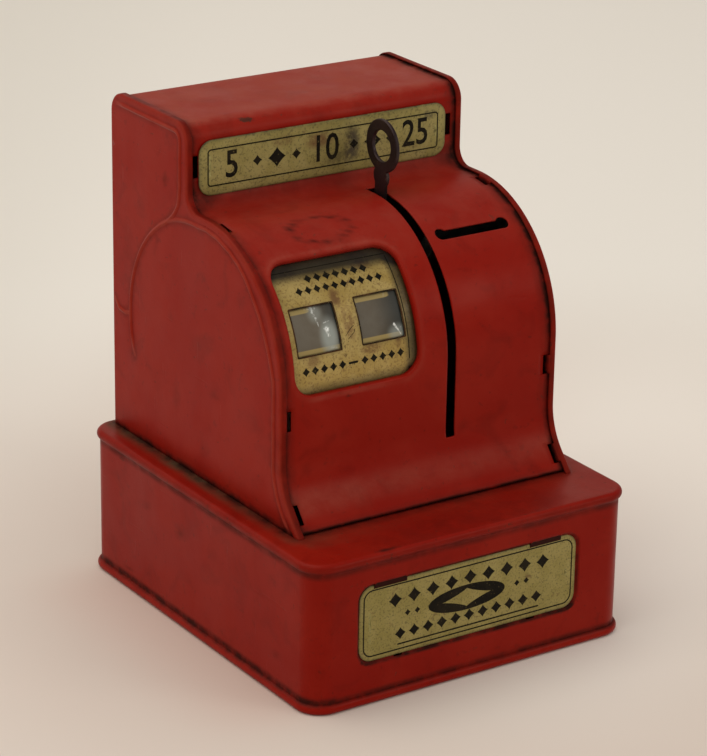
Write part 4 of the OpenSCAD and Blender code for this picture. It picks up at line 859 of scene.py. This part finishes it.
def base_box():
    """Base wall, bead and ledge as one section carried round the base, with the sunk name field."""
    half, left, right = BASE_W / 2 - CORNER_R, NAME_X - NAME_W / 2, NAME_X + NAME_W / 2
    low, high = NAME_Z - NAME_H / 2, NAME_Z + NAME_H / 2
    slots = [(NAME_X + x - NAME_SLOT_W / 2, NAME_X + x + NAME_SLOT_W / 2) for x in NAME_SLOTS]
    slot_z = (low - 0.4, low + 0.8)
    fixed = [-half, left - 0.5, right + 0.5, *slots[0], *slots[1], -DRAWER_X, DRAWER_X, half]
    path, out = box_path(spread(fixed, 0.45, 1.6, 3.0))
    heights = spread([1.3, low - 0.5, *slot_z, high + 0.5, DRAWER_LOW, DRAWER_HIGH, 44.9], 0.4, 1.4, 2.6)
    section = [(0.0, z) for z in heights]
    section += [(BEAD_OUT - BEAD_R + BEAD_R * math.cos(a), LEDGE_Z - BEAD_R + BEAD_R * math.sin(a))
                for a in np.radians(np.linspace(-46, 90, 14))]
    section += [(-inset, LEDGE_Z) for inset in (2.2, 4, 6.5)]
    rows = [np.column_stack([path + out * o, np.full(len(path), z)]) for o, z in section]
    middle, cover = pierced_sheet(rows[-1][:, :2], [], np.arange(-49, 50, 7.0), np.arange(-56, 57, 7.0))
    rows.append(np.column_stack([middle, np.full(len(middle), LEDGE_Z)]))
    points = np.concatenate(rows)
    cover = facing(points, cover + len(section) * len(path), (0, 0, 1))
    x, y, z = points.T
    front = (y < -BASE_D / 2 + 0.01) & (z < 44)
    gap = rounded_gap(x - NAME_X, z - NAME_Z, NAME_W + 1.0, NAME_H + 1.0, PLATE_R + 0.5)
    points[:, 1] += front * 0.9 * ramp(gap, 0.35, -0.55)
    faces = grid_faces(len(section), len(path), True)
    mid_x, mid_y, mid_z = points[faces].mean(1).T
    cut = between(mid_x, -DRAWER_X, DRAWER_X) & between(mid_z, DRAWER_LOW, DRAWER_HIGH)
    cut &= mid_y > BASE_D / 2 - 0.4
    for slot in slots:
        cut |= (mid_y < -BASE_D / 2 + 1.2) & between(mid_x, *slot) & between(mid_z, *slot_z)
    faces = facing(points, faces[~cut], hub=(0, 0, 20))
    under, ledge, aside = np.abs(z - UNDER_BEAD), z > LEDGE_Z - 0.1, x < -50
    housing = rounded_gap(x, y - 8.5, 2 * HOUSING_X, 110, 1.0)
    foot = np.where(aside, 5.9, 5.2)
    grime = ledge * (ramp(housing, np.where(y < -40, 0.8, 1.1), 0.3)
                     + 0.4 * ramp(x, -40, -49) * ramp(housing, 4.4, 1.0)
                     + 0.22 * ramp(y, -50, -56) * ramp(np.abs(x), 58, 20))
    # Darker in a band just below the bead and on its underside.
    grime += 0.62 * ramp(np.abs(z - BELOW_BEAD), 1.7, 0.3) * (z < 46) + 0.2 * ramp(under, 1.6, 0.4)
    # Painted shade in the groove above the rolled rim, with soot; dirt spots on the left side.
    grime += 0.95 * ramp(z, foot, foot - 2.0) + aside * blots(y, z, BASE_SPOTS)
    # Painted shadow round the name plate's edge and below its lower edge.
    grime += front * (0.75 * ramp(np.abs(gap + 0.1), 0.9, 0.1)
                      + 0.9 * ramp(np.abs(z - (low - 0.1)), 1.5, 0.2) * (gap < 0.8))
    grime += 0.8 * (z > 46) * blot(x, y, -31.5, -65.0, 5.0, 1.5)
    dust = 1.25 * ramp(housing, 5.0, 1.4) * (0.45 + 0.55 * ramp(y, -35, 10))
    dust *= 0.25 + 0.75 * ramp(x, -30, -48)
    piece("base_box", points, [faces, cover], RED_BASE, ["base_shell"], thick=SHEET,
          wear=ramp(under, 2.0, 0.4) * 0.42 + ramp(np.abs(gap), 1.2, 0) * front * 0.3,
          grime=np.clip(grime, 0, 1), dust=ledge * (dust + 0.04))


def name_tabs():
    """Two tongues of the wall that bend inwards over the upper edge of the name plate, darkened below the
    bend nearly to black: painted shade.

    The bend starts along a low arch, z = arch (1 - (2u - 1)^4), and the tongue sinks by a smooth step.
    """
    top = NAME_Z + NAME_H / 2
    u, v = lattice(np.linspace(0, 1, 24), np.linspace(0, 1, 12))
    for k, x0 in enumerate(NAME_TABS):
        low, high = top - 1.1, top + 0.7 + 0.9 * (1 - (2 * u - 1) ** 4)
        y = -BASE_D / 2 - 0.05 + 0.42 * ramp(v, 0.0, 0.5)
        points = np.stack([x0 + NAME_TAB_W * u, y, high + (low - high) * v], 1)
        piece(f"name_tab_{k + 1}", points, grid_faces(24, 12), RED, out=FRONT, thick=0.3,
              wear=0.4 * ramp(v, 0.9, 1.0), grime=1.9 * ramp(v, 0.02, 0.3))


def bottom_rim():
    """Rolled bottom rim, a circle carried round the base, and the plate that closes the base."""
    half, count, centre = BASE_W / 2 - CORNER_R, 20, BEAD_OUT + 0.2 - RIM_R
    path, out = box_path(np.linspace(-half, half, 40))
    turn = np.radians(np.linspace(0, 360, count, endpoint=False))
    rows = []
    for a in turn:
        level = np.full(len(path), max(0.0, RIM_R - RIM_FLAT + RIM_R * math.sin(a)))
        rows.append(np.column_stack([path + out * (centre + RIM_R * math.cos(a)), level]))
    points, turn = np.concatenate(rows), np.repeat(turn, len(path))
    faces = facing(points, grid_faces(count + 1, len(path), True) % len(points), hub=(0, 0, RIM_R))
    # The top of the roll, where it meets the wall, is darkened: painted shade in the groove.
    piece("rolled_rim", points, faces, RED, ["bottom_plate"],
          wear=0.08 + 0.16 * np.clip(np.cos(turn - 0.3), 0, 1),
          grime=np.clip(1.8 * np.clip(np.sin(turn) - 0.45, 0, 1), 0, 1))
    inner = path + out * (centre - RIM_R + 0.4)
    flat, faces = pierced_sheet(inner, [], np.arange(-54, 55, 3.0), np.arange(-63, 64, 3.0))
    border = nearest(flat, inner)
    points = np.column_stack([flat, BOTTOM_Z - BOTTOM_SAG * ramp(border, 1.5, 4.0)])
    piece("bottom_sheet", points, faces, RED, out=(0.0, 0.0, -1.0), thick=0.4,
          wear=0.1 + 0.3 * ramp(border, 4, 0), grime=0.7 * ramp(border, 5, 0))


# Plates, window mask and panes

def plate(name, node, x, y, z, w, h, material):
    """Thin plate: rounded rectangles inset in steps, the outermost ones turned back."""
    insets = (0.0, 0.0, 0.08, 0.25, 0.5, 0.9, 1.6, 3.0, 4.2)
    back = (0.36, 0.2, 0.09, 0.03, 0.01) + 7 * (0.0,)
    rings = [rounded_even(w - 2 * d, h - 2 * d, max(PLATE_R - d, 0.3)) for d in insets]
    rings += [rings[-1] * (1, t) for t in (0.66, 0.33, 0.0)]
    points = np.concatenate([on_plane(ring + (x, z), y + b) for ring, b in zip(rings, back)])
    # Darker towards the turned-back rim: dirt with painted shade.
    grime = np.repeat([0.9, 0.8, 0.7, 0.45, 0.25, 0.1, 0, 0, 0, 0, 0, 0], len(rings[0]))
    piece(name, points, grid_faces(len(rings), len(rings[0]), True), material, [node], FRONT, grime=grime)


def flat_print(name, loops, carry, material=INK):
    """Print on a plate: outlines filled between them, a hair in front of the metal."""
    flat, faces = pierced_sheet(loops[0], loops[1:], NO_GRID, NO_GRID)
    piece(name, carry(flat), faces, material, out=FRONT)


def lozenges(name, marks, carry, x0=0.0, z0=0.0, wide=1.0, step=9.0):
    """Printed lozenges, each (x, z, half height)."""
    for k, (x, z, size) in enumerate(marks):
        flat_print(f"{name}_{k}", [closely(diamond(x0 + x, z0 + z, size * wide, size), step)], carry)


def number(name, text, x, z, carry):
    """Plain number as flat print, from the built-in font turned into a mesh and laid on the plate."""
    curve = bpy.data.curves.new(name, "FONT")
    curve.body, curve.align_x, curve.align_y, curve.size = text, "CENTER", "CENTER", NUMBER_SIZE
    curve.resolution_u, curve.offset = 3, 0.012 * NUMBER_SIZE
    temp = link(name + "_curve", curve)
    mesh = bpy.data.meshes.new_from_object(temp)
    bpy.data.objects.remove(temp)
    bpy.data.curves.remove(curve)
    co = np.empty(len(mesh.vertices) * 3)
    mesh.vertices.foreach_get("co", co)
    flat = co.reshape(-1, 3)[:, :2] * (NUMBER_STRETCH, 1) + (x, z)
    mesh.vertices.foreach_set("co", (carry(flat) * MM).ravel())
    mesh.name = name
    ob = smooth_object(name, mesh, INK)
    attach(ob, "housing")


def border_loops(x, z, w, h, r):
    """Outer and inner loop of a thin border line."""
    return [rounded_even(w - 2 * t, h - 2 * t, r - t) + (x, z) for t in (0.0, BORDER_W)]


def printed_plates():
    """Name plate and sign plate with their borders, plain numbers and ornaments."""
    front, sign_y = -BASE_D / 2 + 0.5, SIGN_Y - 0.02
    on_name, on_sign = partial(on_plane, y=front - 0.02), partial(on_plane, y=sign_y - 0.02)
    plate("name_plate_print_base", "base_nameplate", NAME_X, front, NAME_Z, NAME_W, NAME_H, BRASS)
    flat_print("name_border", border_loops(NAME_X, NAME_Z, NAME_W - 2.8, NAME_H - 2.8, 3.2), on_name)
    oval = [oval_loop(NAME_X - 1, NAME_Z + 0.4, 14.0, 4.1), diamond(NAME_X - 1, NAME_Z + 0.4, 9.0, 3.0)]
    flat_print("name_oval", oval, on_name)
    marks = [(-27 + 6.75 * k, 5.6 + 1.3 * (1 - abs(k - 4) / 4), 2.4) for k in range(9)]
    marks += [(-25 + 5 * k, -5.6, 2.0) for k in range(11)] + [(x, 0.6, 1.1) for x in (-22.5, -19, 17.5, 21)]
    lozenges("name_lozenge", marks, on_name, NAME_X, NAME_Z)
    flat_print("name_rule", [rounded(52, 0.5, 0.2, 2, NAME_X, NAME_Z - 9.0)], on_name)
    plate("sign_plate_print_base", "sign_plate", SIGN_X, sign_y, SIGN_Z, SIGN_W, SIGN_H, SIGN_BRASS)
    flat_print("sign_border", border_loops(SIGN_X, SIGN_Z, SIGN_W - 5.8, SIGN_H - 5.6, 1.3), on_sign)
    for k, (text, dx) in enumerate((("5", -33.5), ("10", 0.0), ("25", 33.5))):
        number(f"sign_number_{k}", text, SIGN_X + dx, SIGN_Z - 0.1, on_sign)
    marks = [(x, 0.0, 3.2 if abs(x) == 17.5 else 1.7) for x in (-24.5, -17.5, -10.5, 10.5, 17.5, 24.0)]
    lozenges("sign_lozenge", marks, on_sign, SIGN_X, SIGN_Z)


MASK_SCRATCHES = (
    ((-24.6, -3.6), (-22.4, -1.6), (-21.2, -0.9)), ((-23.8, -4.6), (-21.4, -2.9), (-20.9, -1.9)),
    ((-25.3, -6.2), (-25.2, -9.6)), ((-23.9, -5.2), (-23.7, -13.4)), ((-22.6, -6.8), (-22.5, -12.6)))


def window_mask():
    """Curved mask behind the window with an opening for each pane, and its printed rules."""
    outline = closely(np.array([[-46.4, -7.0], [1.0, -7.0], [1.0, 60.0], [-46.4, 60.0]]), 2.0)
    loops = [closely(rounded(PANE_W + grow, PANE_SPAN + 1.4 * grow, r, 2, x + PANE_W / 2, PANE_DEG), 2.0)
             for grow, r in ((0.0, 0.5), (1.0, 0.8)) for x in PANE_X]
    flat, faces = pierced_sheet(outline, loops[:2], np.arange(-45, 1, 2.0), np.arange(-6, 60, 2.0), loops[2:])
    u, v = flat.T
    edge = np.zeros(len(flat))
    for x in PANE_X:
        gap = rounded_gap(u - x - PANE_W / 2, (v - PANE_DEG) * 0.7, PANE_W, PANE_SPAN * 0.7, 0.5)
        edge = np.maximum(edge, np.clip(1 - gap / 0.7, 0, 1))
    # Painted shadow of the window's rolled edge over the mask, with some ageing: darkest along the top and
    # the right, lighter along the bottom and the left.
    shade = 0.95 * ramp(v, 44.5, 50.5) + 0.85 * ramp(u, -5.2, -2.0)
    shade += 0.6 * ramp(v, 2.5, -2.0) + 0.5 * ramp(u, -42.6, -44.0)
    piece("window_mask_print_base", on_mask(u, v), faces, BRASS_WARM, ["window_mask"], FRONT, 0.35,
          grime=edge, shade=np.clip(shade, 0, 1))
    for k, x in enumerate(PANE_X):
        frame_loops = [closely(rounded(PANE_W + w, h, r, 2, x + PANE_W / 2, 0), 1.2)
                       for w, h, r in ((0.7, 15.0, 0.4), (-0.1, 14.2, 0.3))]
        flat_print(f"pane_frame_{k}", frame_loops, on_mask_print, BROWN_INK)
    rules = ((-23.5, 19.2, 42, 0.3), (-2.9, 2.2, 0.3, 33), (-22.9, -11.8, 3.4, 0.7))
    for k, (x, z, w, h) in enumerate(rules):
        rule = closely(rounded(w, h, min(w, h) / 2 - 0.01, 3, x, z), 1.2)
        flat_print(f"mask_rule_{k}", [rule], on_mask_print)
    rows = ((15.7, 1.5, np.linspace(-31.5, -12.0, 7)), (12.1, 1.4, np.linspace(-36, -8, 10)),
            (-11.8, 1.4, (-39.5, -36.3, -33.1, -29.9, -26.7, -18.8, -15.6, -12.4, -9.2, -6.0)))
    marks = [(x, z, size) for z, size, places in rows for x in places]
    lozenges("mask_lozenge", marks, on_mask_print, wide=0.95, step=0.8)
    for k, path in enumerate(MASK_SCRATCHES):
        flat_print(f"mask_scratch_{k}", [stroke(np.array(path), 0.16)], on_mask_print)


# Creases of the panes, painted white where they glint: strength, width and path, in parts of half a pane
DOLLARS_CREASES = (
    (0.55, 0.1, ((0.0, 0.84), (0.04, 0.62), (0.08, 0.38))),
    (0.45, 0.06, ((0.1, 0.42), (0.14, 0.16), (0.15, 0.02))),
    (0.4, 0.06, ((0.2, 0.86), (0.1, 0.62))), (0.35, 0.05, ((-0.22, 0.8), (0.02, 0.78))),
    (1.0, 0.09, ((0.44, -0.04), (0.46, -0.32))), (0.5, 0.045, ((0.32, 0.0), (0.5, -0.06))),
    (0.5, 0.035, ((0.36, 0.2), (0.64, 0.24))), (0.5, 0.05, ((0.56, -0.3), (0.4, -0.3))),
    (0.35, 0.08, ((0.5, -0.72), (0.8, -0.8))))
CENTS_CREASES = (
    (0.9, 0.055, ((0.5, -0.36), (0.62, -0.56), (0.74, -0.78))), (0.35, 0.05, ((0.76, -0.52), (0.68, -0.66))),
    (0.3, 0.04, ((0.4, 0.86), (0.3, 0.6))))


def pane(name, node, x0, creases):
    """Cockled pane: a patch of the drum, bulged like a cushion, with folds that stand up a little.

    A crease, painted white where it glints, tapers: its width is w (1 - 0.75 t), t the share of its length.
    """
    u, v = lattice(np.linspace(-1, 1, 97), np.linspace(-1, 1, 97))
    cushion, crease = (1 - u ** 4) * (1 - v ** 4), np.zeros(len(u))
    for strength, width, path in creases:
        gap, run = gap_and_run(np.stack([u, v], 1), np.array(path))
        narrow = width * (1 - 0.75 * run / run_of(path)[-1])
        crease = np.maximum(crease, strength * np.exp(-(gap / narrow) ** 2))
    reach = (1 + 1.6 / (PANE_SPAN / 2)) * np.abs(v)
    border = np.minimum(1 - reach, (1 + 2.4 / PANE_W) * (1 - np.abs(u)) - 2.4 / PANE_W + 0.02)
    strip = ramp(reach, 0.7, 0.84)
    # Each pane: a painted reflection, pale and bluish, over one part; painted shade over another; the printed
    # strips kept to part of the width.
    if node == "dollars_pane":
        pale = 0.8 * blot(u, v, 0.5, -0.35, 0.5, 0.95) + 0.4 * blot(u, v, 0.1, 0.6, 0.4, 0.5)
        shade = 0.75 * ramp(u, 0.05, 0.7) * ramp(v, -0.5, 0.5) + 0.8 * ramp(u, 0.72, 0.95)
        strip *= np.where(v > 0, ramp(u, 0.1, -0.25), 1.0)
    else:
        pale = 0.55 * blot(u, v, 0.6, -0.7, 0.5, 0.45)
        shade = 0.75 * ramp(u, -0.3, 0.8) + 0.15 + 0.3 * ramp(u, 0.75, 0.95)
        strip *= np.where(v > 0, ramp(u, 0.75, 0.35), ramp(u, 0.95, 0.6))
    # Darker at the border, where the mask's edge shades it: painted shade.
    points = on_mask(x0 + PANE_W / 2 + u * (PANE_W / 2 + 1.2), PANE_DEG + v * (PANE_SPAN / 2 + 1.6),
                     0.6 - 0.25 * cushion - 0.08 * crease * cushion)
    piece(name, points, grid_faces(97, 97), FILM, [node], FRONT, 0.2, strip=strip, crease=crease,
          grime=ramp(border, 0.07, -0.02), pale=np.clip(pale, 0, 1), shade=np.clip(shade, 0, 1))


# Nodes with rounded edges, and better looks for all the others

def soften(node, name, body, bevel=0.0):
    """Copies a CAD node, merges its loose triangles and rounds its edges: the piece then replaces it."""
    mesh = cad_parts[node].data.copy()
    mesh.name = name
    bm = bmesh.new()
    bm.from_mesh(mesh)
    bmesh.ops.remove_doubles(bm, verts=bm.verts, dist=2e-6)
    bmesh.ops.dissolve_limit(bm, angle_limit=math.radians(2), verts=bm.verts, edges=bm.edges)
    bm.to_mesh(mesh)
    bm.free()
    ob = smooth_object(name, mesh, BLACK_STEEL)
    mesh.set_sharp_from_angle(angle=math.radians(40))
    if bevel:
        soft = ob.modifiers.new("Soft edges", "BEVEL")
        soft.width, soft.segments, soft.limit_method = bevel * MM, 2, "ANGLE"
        soft.angle_limit = math.radians(40)
    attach(ob, body)
    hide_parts(node)
    return ob


NODE_LOOKS = {
    "back_panel": RED, "drawer_front": RED, "bell": NICKEL, "cents_wheel": ENAMEL, "dollars_wheel": ENAMEL,
    "bell_post": BLACK_STEEL, "frame_screws": BLACK_STEEL, "bolt_spring": BLACK_STEEL,
    "lever_spring": BLACK_STEEL}

side_panel("left_panel", -1, "left_side_panel")
side_panel("right_panel", 1, "right_side_panel")
front_sheet()
seam_tabs()
base_box()
name_tabs()
bottom_rim()
printed_plates()
window_mask()
pane("dollars_film", "dollars_pane", PANE_X[0], DOLLARS_CREASES)
pane("cents_film", "cents_pane", PANE_X[1], CENTS_CREASES)
soften("lever_handle", "ring_lever", "lever", 0.28)
bolt_wire = soften("bolt_spring", "bolt_spring_wire", "housing")
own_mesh(bolt_wire)
for node_name, node_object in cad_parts.items():
    for socket in node_object.material_slots:
        socket.material = NODE_LOOKS.get(node_name, STEEL)


# Floor, light and camera

def stage_material():
    """Pale floor and backdrop, seen by the camera and in reflections at that level: darker near the bank,
    with a painted pool of light and a painted red bounce.
    """
    made, n, shader, where = start_material("pale paper")
    away = n.add("VectorMath", where, settings={"operation": "LENGTH"}).outputs["Value"]
    apart = n.add("VectorMath", where, (0.04, -0.04, 0.0), settings={"operation": "DISTANCE"})
    near_tone = n.mix(n.noise(where, 9.0, 3, 0.5), (217, 202, 189), (223, 209, 196))
    # Painted light: a pale oval on the floor to the right of the bank, which lifts its shadow there.
    spot = n.oval(where, (0.125, 0.02, 0.0), (0.21, 0.095, 1.0), 0.72)
    lifted = n.mix(n.span(spot, -0.1, 0.7), near_tone, (243, 234, 223))
    x, y, _ = n.add("SeparateXYZ", where).outputs
    # Painted reflected light: a red tint on the floor beside the left of the base.
    beside_base = n.times(n.span(x, -0.10, -0.055), n.span(x, -0.035, -0.055))
    beside_base = n.times(beside_base, n.span(n.calc("ABSOLUTE", y), 0.08, 0.04))
    tinted = n.mix(n.times(beside_base, 0.5), lifted, (212, 176, 160))
    aside = n.minus(y, n.calc("MULTIPLY_ADD", x, 0.8, 0.145))
    far_tone = n.mix(n.span(n.calc("DIVIDE", aside, away), 0.24, 0.58), (240, 234, 224), (229, 223, 212))
    shade = n.mix(n.span(apart.outputs["Value"], 0.1, 0.36), tinted, far_tone)
    n.fill(shader, Base_Color=shade, Roughness=0.9, Specular_IOR_Level=0.1)
    return made


def floor_sheet():
    """Paper sweep: flat floor that bends up behind along a quarter circle."""
    sweep = arc((1.2, 0.8), 0.8, -90, 7.5, 13)
    run = np.concatenate([[(-2.5, 0.0)], sweep, [(2.0, 4.0)]])
    points = [(x, y, z) for x in (-2.5, 0.0, 2.5) for y, z in run.tolist()]
    mesh = bpy.data.meshes.new("paper_sweep")
    mesh.from_pydata(points, [], grid_faces(3, len(run)).tolist())
    smooth_object("paper_sweep", mesh, stage_material())


def stand(ob, place, right, up, back):
    """Puts a light or camera at a place in metres; its own axes are right, up and back."""
    turn = Matrix(np.column_stack([right, up, back]).tolist()).to_4x4()
    ob.matrix_world = Matrix.Translation(place) @ turn


def lamp(name, place, size, power, tint):
    """Square soft light at a place, aimed at the middle of the bank, both in metres."""
    data = bpy.data.lights.new(name, "AREA")
    data.size, data.energy, data.color = size, power, tint
    back = np.array(place) - (0, 0, 0.07)
    back /= np.linalg.norm(back)
    right = np.cross((0, 0, 1), back)
    right /= np.linalg.norm(right)
    stand(link(name, data), place, right, np.cross(back, right), back)


def world_light(level, mirror):
    """Even sky light; the camera sees the backdrop's tone and gloss a dimmer room."""
    world = bpy.data.worlds.new("soft room")
    bpy.context.scene.world = world
    world.use_nodes = True
    n, nodes = Nodes(world.node_tree), world.node_tree.nodes
    rays = n.add("LightPath").outputs
    sky = nodes["Background"]
    sky.inputs["Color"].default_value = (1.0, 0.97, 0.94, 1.0)
    n.fill(sky, Strength=n.plus(n.times(rays["Is Glossy Ray"], mirror - level), level))
    seen = n.add("Background", Color=(216, 207, 193), Strength=1.0)
    direct = n.larger(rays["Is Camera Ray"], rays["Is Transmission Ray"])
    both = n.add("MixShader", direct, sky.outputs[0], seen.outputs[0])
    n.fill(nodes["World Output"], Surface=both.outputs[0])


def photo_camera():
    """Camera of the photograph: azimuth, elevation, roll and distance from the middle of the bank."""
    az, el, roll = (math.radians(v) for v in (-33.78, 20.83, 0.99))
    back = np.array([math.sin(az) * math.cos(el), -math.cos(az) * math.cos(el), math.sin(el)])
    right = np.array([math.cos(az), math.sin(az), 0.0])
    up = np.cross(back, right)
    across = math.cos(roll) * right + math.sin(roll) * up
    above = -math.sin(roll) * right + math.cos(roll) * up
    place = np.array([0, 0, 75.0]) - 0.69 * across - 0.64 * above + back * 955.82
    data = bpy.data.cameras.new("photo_camera")
    data.sensor_fit, data.sensor_width, data.lens = "HORIZONTAL", 36.0, 3077.78 / 707 * 36.0
    data.clip_end = 20.0
    ob = link("photo_camera", data)
    stand(ob, (place * MM).tolist(), across, above, back)
    bpy.context.scene.camera = ob


floor_sheet()
world_light(0.62, 0.2)
lamp("overhead", (-0.7, 0.3, 1.5), 1.8, 13, (1.0, 0.98, 0.95))
lamp("window", (0.85, -1.2, 0.8), 0.5, 2.2, (1.0, 0.97, 0.94))
photo_camera()
bpy.context.scene.view_settings.view_transform = "Standard"
